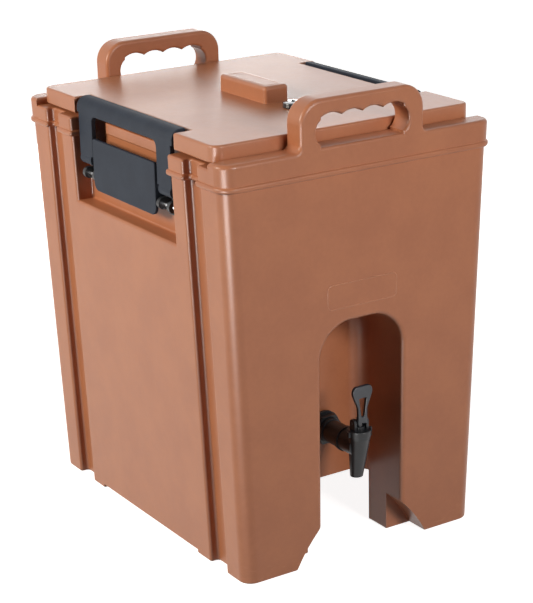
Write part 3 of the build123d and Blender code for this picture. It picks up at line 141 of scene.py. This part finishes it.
class ShaderGraph:
    """The node tree of one material or world, with one way to add a node."""

    def __init__(self, owner: Union[bpy.types.Material, bpy.types.World]) -> None:
        """Empties the owner's tree.

        Args:
            owner: A new material or world.
        """
        owner.use_nodes = True
        self.owner = owner
        self.tree = owner.node_tree
        self.tree.nodes.clear()

    @classmethod
    def material(cls, name: str) -> "ShaderGraph":
        """Starts the graph of a new material with this name."""
        return cls(bpy.data.materials.new(name))

    def add(self, kind: str, settings: Optional[dict[str, Any]] = None,
            inputs: Optional[dict[Union[str, int], Any]] = None, output: Union[str, int] = 0) -> Signal:
        """Adds one node.

        Args:
            kind: The node's type.
            settings: Its own settings, set first.
            inputs: Values or signals for its sockets, by name or number.
            output: Which output to return.

        Returns:
            The chosen output.
        """
        node = self.tree.nodes.new(kind)
        for key, value in (settings or {}).items():
            setattr(node, key, value)
        for key, value in (inputs or {}).items():
            socket = node.inputs[key]
            if isinstance(value, Signal):
                self.tree.links.new(value.socket, socket)
            elif isinstance(value, tuple) and len(value) == 3 and socket.type == "RGBA":
                socket.default_value = (*value, 1.0)
            else:
                socket.default_value = value
        return Signal(self, node.outputs[output])

    def position(self, stretch: Optional[Triple] = None) -> Signal:
        """Object coordinates, stretched along each axis if stretch is given."""
        place = self.add("ShaderNodeTexCoord", output="Object")
        if stretch is None:
            return place
        return self.add("ShaderNodeMapping", inputs={"Vector": place, "Scale": stretch})

    def noise(self, scale: float, detail: float = 3.0, roughness: float = 0.5,
              place: Optional[Signal] = None) -> Signal:
        """Cloudy noise in object space.

        Args:
            scale: Blotches per metre.
            detail: Octaves.
            roughness: Weight of the finer octaves.
            place: Coordinates, or None for plain object coordinates.

        Returns:
            Noise round 0.5.
        """
        inputs = {"Vector": place or self.position(), "Scale": scale, "Detail": detail,
                  "Roughness": roughness}
        return self.add("ShaderNodeTexNoise", inputs=inputs, output="Fac")

    def blend(self, factor: Any, first: Any, second: Any) -> Signal:
        """Mixes two colours: the first where the factor is 0, the second where it is 1."""
        return self.add("ShaderNodeMix", {"data_type": "RGBA"}, {0: factor, 6: first, 7: second}, output=2)

    def edge_mask(self, radius: float) -> Signal:
        """1 along edges and corners, 0 on flat faces, from how far the normal turns within the radius.

        Args:
            radius: How far an edge reaches.

        Returns:
            The mask.
        """
        soft = self.add("ShaderNodeBevel", {"samples": BEVEL_SAMPLES}, {"Radius": radius})
        flat = self.add("ShaderNodeNewGeometry", output="Normal")
        same = self.add("ShaderNodeVectorMath", {"operation": "DOT_PRODUCT"}, {0: soft, 1: flat},
                        output="Value")
        return ((1.0 - same) * EDGE_SHARPNESS).between(0.0, 1.0)

    def clamp(self, value: Signal) -> Signal:
        """Keeps a value between 0 and 1."""
        return self.add("ShaderNodeClamp", inputs={0: value})

    def bump(self, height: Signal, distance: float, strength: float = 1.0) -> Signal:
        """Turns a height into a normal."""
        return self.add("ShaderNodeBump", inputs={"Strength": strength, "Distance": distance,
                                                  "Height": height})

    def surface(self, **inputs: Any) -> bpy.types.Material:
        """Ends the graph in a Principled shader.

        Args:
            **inputs: The shader's sockets, with underscores for spaces.

        Returns:
            The finished material.
        """
        named = {key.replace("_", " "): value for key, value in inputs.items()}
        return self.finish(self.add("ShaderNodeBsdfPrincipled", inputs=named))

    def finish(self, shader: Signal, kind: str = "ShaderNodeOutputMaterial") -> bpy.types.Material:
        """Links a shader to an output node of this kind and returns the owner."""
        node = self.tree.nodes.new(kind)
        self.tree.links.new(shader.socket, node.inputs["Surface"])
        return self.owner


# ---------------------------------------------------------------------------------------------- finishes


@dataclass(frozen=True)
class MouldedPlastic:
    """Rotationally moulded plastic: cloudy colour, a fine orange-peel skin, and paler edges that are
    partly rubbed wear and partly a painted highlight.
    """

    name: str
    colour: Colour
    deep: Colour
    # Paler colour for worn edges and scuffs, and for the painted highlight along edges.
    wear_and_highlight: Colour
    roughness: float
    cloud_size: float = 60 * MM
    cloud_share: float = 0.75
    flecks_per_cloud: float = 9.0
    peel_size: float = 1.6 * MM
    peel_share: float = 0.35
    wave_size: float = 14 * MM
    skin_depth: float = 0.10 * MM
    edge_reach: float = 3.0 * MM
    # Share of the paler colour on edges: partly wear, partly painted highlight.
    edge_wear_and_highlight: float = 0.35
    scuff_height: float = 45 * MM
    scuff_scale: float = 55.0
    scuff_squash: float = 3.5
    scuff_rub: float = 0.30
    coat: float = 0.10
    coat_roughness: float = 0.18
    specular: float = 0.42

    def material(self) -> bpy.types.Material:
        """Builds the material."""
        graph = ShaderGraph.material(self.name)
        cloud = graph.noise(1 / self.cloud_size, 4.0, 0.55)
        fleck = graph.noise(self.flecks_per_cloud / self.cloud_size, 3.0, 0.6)
        edge = graph.edge_mask(self.edge_reach)
        tone = (cloud * self.cloud_share + fleck * (1 - self.cloud_share)).between(0.30, 0.72)
        colour = graph.blend(tone, self.deep, self.colour)
        # Paler along edges: partly rubbed wear, partly a painted highlight on the rounded edges.
        colour = graph.blend(edge * self.edge_wear_and_highlight, colour, self.wear_and_highlight)
        height = graph.add("ShaderNodeSeparateXYZ", inputs={0: graph.position()}, output="Z")
        scratch = graph.noise(self.scuff_scale, 5.0, 0.7, graph.position((1.0, 1.0, self.scuff_squash)))
        scuff = (1.0 - height.between(0.0, self.scuff_height)) * scratch.between(0.56, 0.70)
        colour = graph.blend(scuff * self.scuff_rub, colour, self.wear_and_highlight)
        peel = graph.noise(1 / self.peel_size, 2.0, 0.4)
        wave = graph.noise(1 / self.wave_size, 2.0, 0.4)
        skin = peel * self.peel_share + wave * (1 - self.peel_share) + scuff * 0.2
        normal = graph.bump(skin, self.skin_depth, 0.8)
        rough = self.roughness + (fleck - 0.5) * 0.12 + scuff * 0.15 - edge * 0.05
        return graph.surface(Base_Color=colour, Roughness=rough, Normal=normal, IOR=PLASTIC_IOR,
                             Specular_IOR_Level=self.specular, Coat_Weight=self.coat,
                             Coat_Roughness=self.coat_roughness)


@dataclass(frozen=True)
class EngineeringPlastic:
    """Injection-moulded nylon or acetal: a fine spark-eroded texture, paler edges that are partly rubbed
    wear and partly a painted highlight, faint dust.
    """

    name: str
    colour: Colour
    # Paler colour for dust and worn edges, and for the painted highlight along edges.
    wear_and_highlight: Colour
    roughness: float
    grain_size: float = 1.0 * MM
    grain_share: float = 0.7
    grain_depth: float = 0.09 * MM
    haze_scale: float = 38.0
    haze: float = 0.15
    flow_scale: float = 16.0
    flow_stretch: float = 0.25
    edge_reach: float = 1.2 * MM
    # Share of the paler colour on edges: partly wear, partly painted highlight.
    edge_highlight_and_wear: float = 0.45
    coat: float = 0.0
    coat_roughness: float = 0.12
    specular: float = 0.5

    def material(self) -> bpy.types.Material:
        """Builds the material."""
        graph = ShaderGraph.material(self.name)
        grain = graph.noise(1 / self.grain_size, 2.0, 0.5)
        cloud = graph.noise(self.haze_scale, 4.0, 0.6)
        flow = graph.noise(self.flow_scale, 3.0, 0.5, graph.position((1.0, self.flow_stretch, 1.0)))
        edge = graph.edge_mask(self.edge_reach)
        dust = cloud.between(0.35, 0.70)
        # Paler where dusty and along edges; the edges are partly wear and partly a painted highlight.
        colour = graph.blend(dust * self.haze + edge * self.edge_highlight_and_wear, self.colour, self.wear_and_highlight)
        rough = self.roughness + (flow - 0.5) * 0.18 + (grain - 0.5) * 0.08
        texture = grain * self.grain_share + flow * (1 - self.grain_share)
        normal = graph.bump(texture, self.grain_depth, 0.7)
        return graph.surface(Base_Color=colour, Roughness=rough, Normal=normal, IOR=PLASTIC_IOR,
                             Specular_IOR_Level=self.specular, Coat_Weight=self.coat,
                             Coat_Roughness=self.coat_roughness)


@dataclass(frozen=True)
class DrawnSteel:
    """Stainless rod or wire with fine marks along its length."""

    name: str
    colour: Colour
    roughness: float
    along: Triple
    mark_scale: float = 900.0
    mark_depth: float = 0.02 * MM
    stain_scale: float = 120.0
    stain_level: float = 0.55

    def material(self) -> bpy.types.Material:
        """Builds the material."""
        graph = ShaderGraph.material(self.name)
        marks = graph.noise(self.mark_scale, 3.0, 0.6, graph.position(self.along))
        stain = graph.noise(self.stain_scale, 3.0, 0.6)
        dark = tuple(self.stain_level * channel for channel in self.colour)
        colour = graph.blend(stain.between(0.45, 0.75) * 0.5, self.colour, dark)
        rough = self.roughness + (marks - 0.5) * 0.22
        normal = graph.bump(marks, self.mark_depth, 0.5)
        return graph.surface(Base_Color=colour, Metallic=1.0, Roughness=rough, Normal=normal)


@dataclass(frozen=True)
class ClosedCellFoam:
    """Rigid insulating foam with visible cells."""

    name: str
    colour: Colour
    # Colour toward the low creases between cells: a painted shade.
    hollow: Colour
    cell: float = 1.4 * MM
    cell_depth: float = 0.25 * MM
    cloud_scale: float = 30.0

    def material(self) -> bpy.types.Material:
        """Builds the material."""
        graph = ShaderGraph.material(self.name)
        cells = graph.add("ShaderNodeTexVoronoi", output="Distance",
                          inputs={"Vector": graph.position(), "Scale": 1 / self.cell})
        cloud = graph.noise(self.cloud_scale, 3.0)
        pit = cells.between(0.15, 0.55)
        # Darker toward the low creases between cells: painted shade, mixed with random cloudy tone.
        colour = graph.blend(pit * 0.5 + cloud * 0.3, self.colour, self.hollow)
        normal = graph.bump(1.0 - pit, self.cell_depth, 0.8)
        return graph.surface(Base_Color=colour, Roughness=0.9 - cloud * 0.1, Normal=normal)


@dataclass(frozen=True)
class SoftRubber:
    """Moulded rubber or silicone with a dusty bloom."""

    name: str
    colour: Colour
    bloom: Colour
    roughness: float = 0.7
    dust_scale: float = 160.0
    skin_scale: float = 1400.0
    skin_depth: float = 0.04 * MM

    def material(self) -> bpy.types.Material:
        """Builds the material."""
        graph = ShaderGraph.material(self.name)
        dust = graph.noise(self.dust_scale, 4.0, 0.65)
        skin = graph.noise(self.skin_scale, 2.0)
        colour = graph.blend(dust.between(0.40, 0.75) * 0.4, self.colour, self.bloom)
        rough = self.roughness + (dust - 0.5) * 0.2
        normal = graph.bump(skin, self.skin_depth, 0.6)
        return graph.surface(Base_Color=colour, Roughness=rough, Normal=normal)


class Finishes:
    """Every finish of the dispenser, each built once."""

    def __init__(self) -> None:
        """Builds the materials."""
        # In the moulded and engineering plastics, the paler colour just before the roughness paints worn
        # edges together with a painted edge highlight.
        self.casing = MouldedPlastic("casing_moulded_brown", (0.450, 0.168, 0.076), (0.395, 0.141, 0.064),
                                     (0.60, 0.28, 0.155), 0.40).material()
        self.lid = MouldedPlastic("lid_moulded_brown", (0.455, 0.176, 0.082), (0.405, 0.150, 0.070),
                                  (0.62, 0.30, 0.17), 0.41, scuff_height=1 * MM, coat=0.22).material()
        self.tank = MouldedPlastic("tank_moulded_tan", (0.52, 0.26, 0.14), (0.46, 0.22, 0.115),
                                   (0.60, 0.34, 0.2), 0.35, scuff_height=1 * MM).material()
        self.latch = EngineeringPlastic("latch_slate_nylon", (0.011, 0.016, 0.028), (0.040, 0.053, 0.080),
                                        0.62, edge_highlight_and_wear=0.35, specular=0.24).material()
        self.bracket = EngineeringPlastic("bracket_black_nylon", (0.012, 0.013, 0.016),
                                          (0.05, 0.055, 0.065), 0.40).material()
        self.tap = EngineeringPlastic("tap_black_acetal", (0.008, 0.009, 0.011), (0.07, 0.075, 0.09), 0.36,
                                      haze=0.08, coat=0.10, specular=0.32).material()
        self.handle = EngineeringPlastic("tap_handle_acetal", (0.015, 0.018, 0.025), (0.11, 0.125, 0.155),
                                         0.34, coat=0.2, specular=0.40).material()
        self.stem = EngineeringPlastic("stem_charcoal_acetal", (0.030, 0.031, 0.036), (0.10, 0.105, 0.12),
                                       0.35).material()
        self.vent = EngineeringPlastic("vent_gloss_black", (0.009, 0.010, 0.013), (0.07, 0.08, 0.10), 0.14,
                                       haze=0.08, coat=0.9).material()
        self.rod = DrawnSteel("pin_stainless", (0.72, 0.72, 0.74), 0.24, (1.0, 0.04, 1.0)).material()
        self.wire = DrawnSteel("spring_stainless", (0.66, 0.66, 0.68), 0.30, (1.0, 1.0, 0.1)).material()
        self.foam = ClosedCellFoam("insulating_foam", (0.80, 0.71, 0.44), (0.52, 0.42, 0.22)).material()
        self.washer = SoftRubber("washer_black_rubber", (0.022, 0.022, 0.023),
                                 (0.10, 0.10, 0.10)).material()
        self.seal = SoftRubber("seal_grey_silicone", (0.46, 0.42, 0.38), (0.62, 0.58, 0.53)).material()


# --------------------------------------------------------------------------------------- mesh and frame


def dress(node: str, material: bpy.types.Material) -> None:
    """Gives a CAD node its finish.

    Args:
        node: Name of the node.
        material: Its finish.
    """
    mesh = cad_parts[node].data
    mesh.materials.clear()
    mesh.materials.append(material)
    LOG.info("dressed %s in %s", node, material.name)


def span(node: str) -> tuple[np.ndarray, np.ndarray]:
    """Lowest and highest corners of a CAD node."""
    low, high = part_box(node)
    return np.array(low), np.array(high)


def wall_tree(node: str) -> BVHTree:
    """A search tree over a CAD node's faces."""
    return BVHTree.FromObject(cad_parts[node], bpy.context.evaluated_depsgraph_get())


def grid_faces(rows: int, columns: int, looped: bool) -> np.ndarray:
    """Quads of a grid of points, row after row, whose columns run round and join.

    Args:
        rows: Points along the first parameter.
        columns: Points along the second parameter.
        looped: Whether the first parameter joins itself too.

    Returns:
        One row of four indices per face.
    """
    bands = rows if looped else rows - 1
    row, column = np.meshgrid(np.arange(bands), np.arange(columns), indexing="ij")
    after = (column + 1) % columns
    above = (row + 1) % rows
    corners = (row * columns + column, row * columns + after, above * columns + after,
               above * columns + column)
    return np.stack(corners, axis=-1).reshape(-1, 4)


def grid_piece(name: str, points: np.ndarray, material: bpy.types.Material, body: str,
               looped: bool = False) -> bpy.types.Object:
    """Makes a smooth closed piece from a grid of points whose columns run round.

    Args:
        name: Name of the piece.
        points: Array of rows, columns and coordinates. Rows run up, outwards or along a path.
        material: Its finish.
        body: The CAD body that it rides on.
        looped: Whether the last row joins the first. If not, one face closes each end.

    Returns:
        The new object.
    """
    rows, columns = points.shape[:2]
    faces = [tuple(face) for face in grid_faces(rows, columns, looped).tolist()]
    if not looped:
        faces.append(tuple(range(columns))[::-1])
        faces.append(tuple(range((rows - 1) * columns, rows * columns)))
    mesh = bpy.data.meshes.new(name)
    mesh.from_pydata(points.reshape(-1, 3).tolist(), [], faces)
    mesh.polygons.foreach_set("use_smooth", [True] * len(mesh.polygons))
    mesh.materials.append(material)
    piece = bpy.data.objects.new(name, mesh)
    bpy.context.scene.collection.objects.link(piece)
    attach(piece, body)
    LOG.info("built %s with %d faces on body %s", name, len(faces), body)
    return piece


def rounded_outline(half_width: float, half_height: float, radius: float) -> np.ndarray:
    """Outline of a rounded rectangle: four quarter circles joined by straight sides.

    Each corner's points are its centre plus radius * (cos(t), sin(t)), for t over a quarter turn.

    Args:
        half_width: Half of the first side.
        half_height: Half of the second side.
        radius: Corner radius.

    Returns:
        Points round the outline, each a pair.
    """
    turn = np.linspace(0.0, math.pi / 2, CORNER_POINTS)
    angles = (turn[None, :] + np.arange(4)[:, None] * math.pi / 2).ravel()
    signs = np.repeat(np.array([[1, 1], [-1, 1], [-1, -1], [1, -1]]), CORNER_POINTS, axis=0)
    centres = signs * np.array([half_width - radius, half_height - radius])
    return centres + radius * np.stack([np.cos(angles), np.sin(angles)], axis=1)


@dataclass(frozen=True)
class Bead:
    """A low moulded ridge that frames a bare panel."""

    half_width: float = 0.9 * MM
    height: float = 0.45 * MM
    sink: float = 0.15 * MM
    around: int = 12

    def points(self, path: np.ndarray, outward: Vector) -> np.ndarray:
        """Sweeps an ellipse round a closed path.

        At each path point p the section is p - sink * n + half_width * cos(t) * s + height * sin(t) * n,
        with n the wall's outward direction and s the sideways one, square to the path.

        Args:
            path: Points on the wall, one row each, anticlockwise seen from outside.
            outward: The wall's outward direction.

        Returns:
            Array of path points, section points and coordinates.
        """
        normal = np.array(outward)
        along = np.roll(path, -1, axis=0) - np.roll(path, 1, axis=0)
        side = np.cross(normal, along)
        side /= np.linalg.norm(side, axis=1, keepdims=True)
        turn = np.linspace(0.0, 2 * math.pi, self.around, endpoint=False)
        centre = path - self.sink * normal
        return (centre[:, None, :] + self.half_width * np.cos(turn)[None, :, None] * side[:, None, :]
                + self.height * np.sin(turn)[None, :, None] * normal)


# --------------------------------------------------------------------------------------- sub-assemblies


@dataclass
class Casing:
    """The double-walled casing, its tank and foam, and the bare label panel over the tap recess."""

    finishes: Finishes
    body: str = "casing"
    panel_half_width: float = 53 * MM
    panel_half_height: float = 16 * MM
    panel_bottom: float = 345.5 * MM
    panel_corner: float = 6 * MM
    ray_lead: float = 50 * MM
    bead: Bead = Bead()

    def build(self) -> None:
        """Dresses the solids and adds the label panel's bead."""
        dress("outer_shell", self.finishes.casing)
        dress("inner_tank", self.finishes.tank)
        dress("insulation_foam", self.finishes.foam)
        self.label_bead()

    def label_bead(self) -> bpy.types.Object:
        """Bead round the bare label panel on the front wall.

        The panel is a rounded rectangle laid on the leaning wall: y runs straight from the wall's place at
        the panel's bottom to its place at the top.

        Returns:
            The bead.
        """
        front = span("outer_shell")[0][1]
        tree = wall_tree("outer_shell")
        middle = self.panel_bottom + self.panel_half_height
        inward = Vector((0.0, 1.0, 0.0))
        starts = (Vector((0.0, front - self.ray_lead, middle + step))
                  for step in (-self.panel_half_height, self.panel_half_height))
        low, high = (tree.ray_cast(start, inward)[0].y for start in starts)
        lean = (high - low) / (2 * self.panel_half_height)
        flat = rounded_outline(self.panel_half_width, self.panel_half_height, self.panel_corner)
        wall = low + lean * (flat[:, 1] + self.panel_half_height)
        path = np.stack([flat[:, 0], wall, flat[:, 1] + middle], axis=1)
        outward = Vector((0.0, -1.0, lean)).normalized()
        return grid_piece("label_panel_bead", self.bead.points(path, outward), self.finishes.casing,
                          self.body, looped=True)


@dataclass
class Lid:
    """The lift-off lid with its foam and seal, and the bare panel on its block."""

    finishes: Finishes
    body: str = "lid"
    panel_half_width: float = 11.5 * MM
    panel_half_length: float = 46 * MM
    panel_middle: float = -9.5 * MM
    panel_corner: float = 4 * MM
    bead: Bead = Bead()

    def build(self) -> None:
        """Dresses the lid's solids and adds the block panel's bead."""
        dress("lid_shell", self.finishes.lid)
        dress("lid_foam", self.finishes.foam)
        dress("lid_gasket", self.finishes.seal)
        self.block_bead()

    def block_bead(self) -> bpy.types.Object:
        """Bead round the bare panel on the block, a rounded rectangle at the height of the block's top.

        Returns:
            The bead.
        """
        top = span("lid_shell")[1][2]
        flat = rounded_outline(self.panel_half_width, self.panel_half_length, self.panel_corner)
        path = np.stack([flat[:, 0], flat[:, 1] + self.panel_middle, np.full(len(flat), top)], axis=1)
        return grid_piece("block_panel_bead", self.bead.points(path, Vector((0.0, 0.0, 1.0))),
                          self.finishes.lid, self.body, looped=True)


@dataclass
class Vent:
    """The lid's vent: tube, nut and seal, under a ribbed cap."""

    finishes: Finishes
    ribs: int = 22
    points_per_rib: int = 6
    rib_depth: float = 0.28 * MM
    rib_fade: float = 0.08
    skirt: float = 6.5 * MM
    edge: float = 1.3 * MM
    lip: float = 1.6 * MM
    hollow: float = 0.9 * MM
    hollow_share: float = 0.5
    dome: float = 0.9 * MM
    knob_radius: float = 2.6 * MM
    knob_height: float = 2.2 * MM
    knob_squash: float = 0.9
    side_rows: int = 7
    edge_rows: int = 5
    crown_rows: int = 7
    knob_rows: int = 4

    def build(self) -> None:
        """Dresses the vent's solids and builds its cap."""
        dress("vent_tube", self.finishes.vent)
        dress("vent_tube_nut", self.finishes.vent)
        dress("vent_seal", self.finishes.seal)
        dress("vent_cap", self.finishes.vent)
        self.cap()

    def profile(self, radius: float, top: float) -> tuple[np.ndarray, np.ndarray, np.ndarray]:
        """Rows of the cap, from its hollow underside to the top of its knob.

        The side wall is straight, its upper edge a quarter circle, the crown a parabola and the knob a
        quarter ellipse. The knob's first row repeats the crown's last, which keeps their corner crisp.
        The ribs' depth along the side is the square root of a sine that is cut short at both ends.

        Args:
            radius: The cap's radius.
            top: Height at which the crown starts.

        Returns:
            Each row's radius, its height, and the share of the ribs' depth that it has.
        """
        foot = top - self.skirt
        flat = radius - self.edge
        side = np.linspace(0.0, 1.0, self.side_rows)
        rounding = np.linspace(0.0, math.pi / 2, self.edge_rows + 1)[1:]
        crown = np.linspace(1.0, 0.0, self.crown_rows + 1)[1:]
        knob = np.linspace(0.0, math.pi / 2, self.knob_rows + 1)[:-1]
        radii = [np.array([flat * self.hollow_share, radius - self.lip]),
                 np.full(self.side_rows, radius),
                 flat + self.edge * np.cos(rounding),
                 self.knob_radius + (flat - self.knob_radius) * crown,
                 self.knob_radius * np.cos(knob)]
        heights = [np.array([foot + self.hollow, foot]),
                   foot + (self.skirt - self.edge) * side,
                   top - self.edge + self.edge * np.sin(rounding),
                   top + self.dome * (1 - crown ** 2),
                   top + self.dome + self.knob_height * np.sin(knob) * self.knob_squash]
        fade = np.sin(math.pi * np.clip(side, self.rib_fade, 1 - self.rib_fade)) ** 0.5
        above = self.edge_rows + self.crown_rows + self.knob_rows
        shares = [np.zeros(len(radii[0])), fade, np.zeros(above)]
        return np.concatenate(radii), np.concatenate(heights), np.concatenate(shares)

    def cap(self) -> bpy.types.Object:
        """Ribbed cap in place of the plain one.

        The profile turns round the axis. The ribs take rib_depth * (0.5 - 0.5 * cos(ribs * t)) off the
        radius at the angle t, times the row's share.

        Returns:
            The cap.
        """
        low, high = span("vent_cap")
        centre = (low + high) / 2
        radii, heights, shares = self.profile((high[0] - low[0]) / 2, high[2])
        turn = np.linspace(0.0, 2 * math.pi, self.ribs * self.points_per_rib, endpoint=False)
        groove = self.rib_depth * (0.5 - 0.5 * np.cos(self.ribs * turn))
        reach = radii[:, None] - shares[:, None] * groove[None, :]
        points = np.stack([centre[0] + reach * np.cos(turn), centre[1] + reach * np.sin(turn),
                           np.broadcast_to(heights[:, None], reach.shape)], axis=-1)
        piece = grid_piece("vent_cap_ribbed", points, self.finishes.vent, "vent_cap")
        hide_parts("vent_cap")
        return piece


@dataclass
class Latch:
    """One draw latch: lever, hook, steel pins and black brackets."""

    finishes: Finishes
    side: Side

    def build(self) -> None:
        """Dresses the latch's solids."""
        prefix = self.side.prefix
        dress(f"{prefix}_latch_hook", self.finishes.latch)
        dress(f"{prefix}_latch_lever", self.finishes.latch)
        dress(f"{prefix}_latch_brackets", self.finishes.bracket)
        dress(f"{prefix}_latch_hook_pin", self.finishes.rod)


@dataclass
class Tap:
    """The self-closing tap in the front recess, with its spring."""

    finishes: Finishes
    turns: float = 4.0
    wire_radius: float = 0.6 * MM
    stroke: float = 4 * MM
    coil_rows: int = 193
    wire_points: int = 10

    def build(self) -> None:
        """Dresses the tap's solids and builds its spring."""
        for node in ("tap_body", "tap_bonnet", "tap_lock_nut", "tap_shank"):
            dress(node, self.finishes.tap)
        dress("tap_handle", self.finishes.handle)
        dress("tap_stem", self.finishes.stem)
        dress("tap_handle_pin", self.finishes.stem)
        dress("tap_spring", self.finishes.wire)
        dress("tap_inner_washer", self.finishes.washer)
        dress("tap_outer_washer", self.finishes.washer)
        dress("tap_seat_cup", self.finishes.seal)
        self.spring()

    def spring(self) -> bpy.types.Object:
        """Coil of wire round the stem.

        The path climbs evenly while it turns round the stem, and each of its points carries a circle of
        wire that is square to the path: wire_radius * (cos(u) * r + sin(u) * b), with r the direction away
        from the stem and b square to r and to the path.

        Returns:
            The coil.
        """
        low, high = span("tap_spring")
        centre = (low + high) / 2
        radius = (high[0] - low[0]) / 2 - self.wire_radius
        share = np.linspace(0.0, 1.0, self.coil_rows)
        turn = 2 * math.pi * self.turns * share
        climb = high[2] - low[2] - 2 * self.wire_radius
        flat = np.zeros_like(turn)
        away = np.stack([np.cos(turn), np.sin(turn), flat], axis=1)
        path = centre * (1.0, 1.0, 0.0) + radius * away
        path[:, 2] += low[2] + self.wire_radius + climb * share
        along = np.stack([-radius * np.sin(turn), radius * np.cos(turn),
                          flat + climb / (2 * math.pi * self.turns)], axis=1)
        along /= np.linalg.norm(along, axis=1, keepdims=True)
        across = np.cross(along, away)
        ring = np.linspace(0.0, 2 * math.pi, self.wire_points, endpoint=False)[None, :, None]
        points = path[:, None, :] + self.wire_radius * (np.cos(ring) * away[:, None, :]
                                                        + np.sin(ring) * across[:, None, :])
        piece = grid_piece("tap_spring_coil", points, self.finishes.wire, "casing")
        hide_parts("tap_spring")
        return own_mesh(piece)


# ------------------------------------------------------------------------------------------------ studio


@dataclass
class SoftBox:
    """A rectangular lamp that faces the object."""

    name: str
    place: Triple
    size: tuple[float, float]
    watts: float
    colour: Colour = (1.0, 1.0, 1.0)
    only_gloss: bool = False

    def build(self, target: Vector) -> None:
        """Adds the lamp, turned to the target.

        Args:
            target: The point that it faces.
        """
        lamp = bpy.data.lights.new(self.name, "AREA")
        lamp.shape = "RECTANGLE"
        lamp.size, lamp.size_y = self.size
        lamp.energy = self.watts
        lamp.color = self.colour
        holder = bpy.data.objects.new(self.name, lamp)
        bpy.context.scene.collection.objects.link(holder)
        holder.location = self.place
        holder.rotation_euler = (target - Vector(self.place)).to_track_quat("-Z", "Y").to_euler()
        holder.visible_camera = False
        holder.visible_diffuse = not self.only_gloss


@dataclass
class Studio:
    """Floor, backdrop, lamps and camera."""

    target: Triple = (0.0, 0.0, 0.3)
    azimuth: float = math.radians(-32.63)
    elevation: float = math.radians(18.42)
    roll: float = math.radians(-1.36)
    lens: float = 111.35
    offset: Triple = (0.0161, -0.0187, 2.5701)
    view_depth: float = 50.0
    floor_reach: float = 9.0
    floor_glow: float = 0.90
    floor_fade: tuple[float, float] = (0.8, 2.8)
    floor_grain: float = 45.0
    ambient: float = 0.02

    def build(self) -> None:
        """Sets up everything round the object."""
        self.floor()
        self.world()
        for box in self.lamps():
            box.build(Vector(self.target))
        self.camera()
        bpy.context.scene.view_settings.view_transform = "Standard"

    @staticmethod
    def seen(graph: ShaderGraph) -> Signal:
        """1 for rays that show the backdrop, 0 for rays that only gather light."""
        camera, glossy, through = (graph.add("ShaderNodeLightPath", output=name)
                                   for name in ("Is Camera Ray", "Is Glossy Ray", "Is Transmission Ray"))
        return graph.clamp(camera + glossy + through)

    def floor(self) -> None:
        """A pale floor, white in view and whitest far off, that keeps the object's shadow."""
        graph = ShaderGraph.material("studio_floor")
        speck = graph.noise(self.floor_grain, 3.0)
        pale = graph.blend(speck, (0.80, 0.80, 0.80), (0.84, 0.84, 0.84))
        dim = graph.add("ShaderNodeBsdfDiffuse", inputs={"Color": (0.05, 0.05, 0.05)})
        lit = graph.add("ShaderNodeBsdfDiffuse", inputs={"Color": pale})
        away = graph.add("ShaderNodeVectorMath", {"operation": "LENGTH"}, {0: graph.position()},
                         output="Value").between(*self.floor_fade)
        strength = self.floor_glow + away * (1.0 - self.floor_glow)
        glow = graph.add("ShaderNodeEmission", inputs={"Color": (1.0, 1.0, 1.0), "Strength": strength})
        white = graph.add("ShaderNodeAddShader", inputs={0: lit, 1: glow})
        graph.finish(graph.add("ShaderNodeMixShader", inputs={0: self.seen(graph), 1: dim, 2: white}))
        reach = self.floor_reach
        mesh = bpy.data.meshes.new("floor")
        corners = [(-reach, -reach, 0.0), (reach, -reach, 0.0), (reach, reach, 0.0), (-reach, reach, 0.0)]
        mesh.from_pydata(corners, [], [(0, 1, 2, 3)])
        mesh.materials.append(graph.owner)
        floor = bpy.data.objects.new("floor", mesh)
        bpy.context.scene.collection.objects.link(floor)

    def world(self) -> None:
        """White in view and in reflections, dim as a light."""
        graph = ShaderGraph(bpy.data.worlds.new("studio"))
        strength = self.ambient + self.seen(graph) * (1.0 - self.ambient)
        sky = graph.add("ShaderNodeBackground", inputs={"Color": (1.0, 1.0, 1.0), "Strength": strength})
        bpy.context.scene.world = graph.finish(sky, "ShaderNodeOutputWorld")

    @staticmethod
    def lamps() -> tuple[SoftBox, ...]:
        """A key at the left, lamps right of the front and the rear, a panel behind and a low card."""
        return (
            SoftBox("key", (-2.5, 0.50, 1.45), (0.9, 0.9), 71.0, (1.0, 0.94, 0.82)),
            SoftBox("front_lamp", (0.22, -1.80, 1.00), (0.5, 0.5), 19.5, (1.0, 0.95, 0.92)),
            SoftBox("rear_lamp", (1.0, 1.95, 0.40), (0.7, 0.7), 17.0, (1.0, 0.95, 0.89)),
            SoftBox("back_panel", (1.7, 2.8, 1.45), (3.6, 1.7), 21.0, only_gloss=True),
            SoftBox("left_card", (-1.15, -0.80, 0.08), (0.6, 0.5), 22.0, only_gloss=True),
        )

    def camera(self) -> None:
        """The camera: it looks at the target from the azimuth and elevation, rolled a little."""
        sin_a, cos_a = math.sin(self.azimuth), math.cos(self.azimuth)
        sin_e, cos_e = math.sin(self.elevation), math.cos(self.elevation)
        back = Vector((sin_a * cos_e, -cos_a * cos_e, sin_e))
        level = Vector((cos_a, sin_a, 0.0))
        upright = back.cross(level)
        cos_r, sin_r = math.cos(self.roll), math.sin(self.roll)
        right = level * cos_r + upright * sin_r
        up = upright * cos_r - level * sin_r
        axes = Matrix((right, up, back)).transposed()
        data = bpy.data.cameras.new("camera")
        data.lens = self.lens
        data.clip_end = self.view_depth
        camera = bpy.data.objects.new("camera", data)
        bpy.context.scene.collection.objects.link(camera)
        place = Vector(self.target) + axes @ Vector(self.offset)
        camera.matrix_world = Matrix.Translation(place) @ axes.to_4x4()
        bpy.context.scene.camera = camera


def main() -> None:
    """Builds the studio and each sub-assembly in order."""
    logging.basicConfig(level=logging.INFO, format="%(name)s: %(message)s")
    Studio().build()
    finishes = Finishes()
    parts = [Casing(finishes), Lid(finishes), Vent(finishes)]
    parts += [Latch(finishes, side) for side in Side]
    parts.append(Tap(finishes))
    for part in parts:
        part.build()
    dress("latch_hinge_pins", finishes.rod)
    dress("latch_bracket_screws", finishes.rod)


if __name__ == "__main__":
    main()
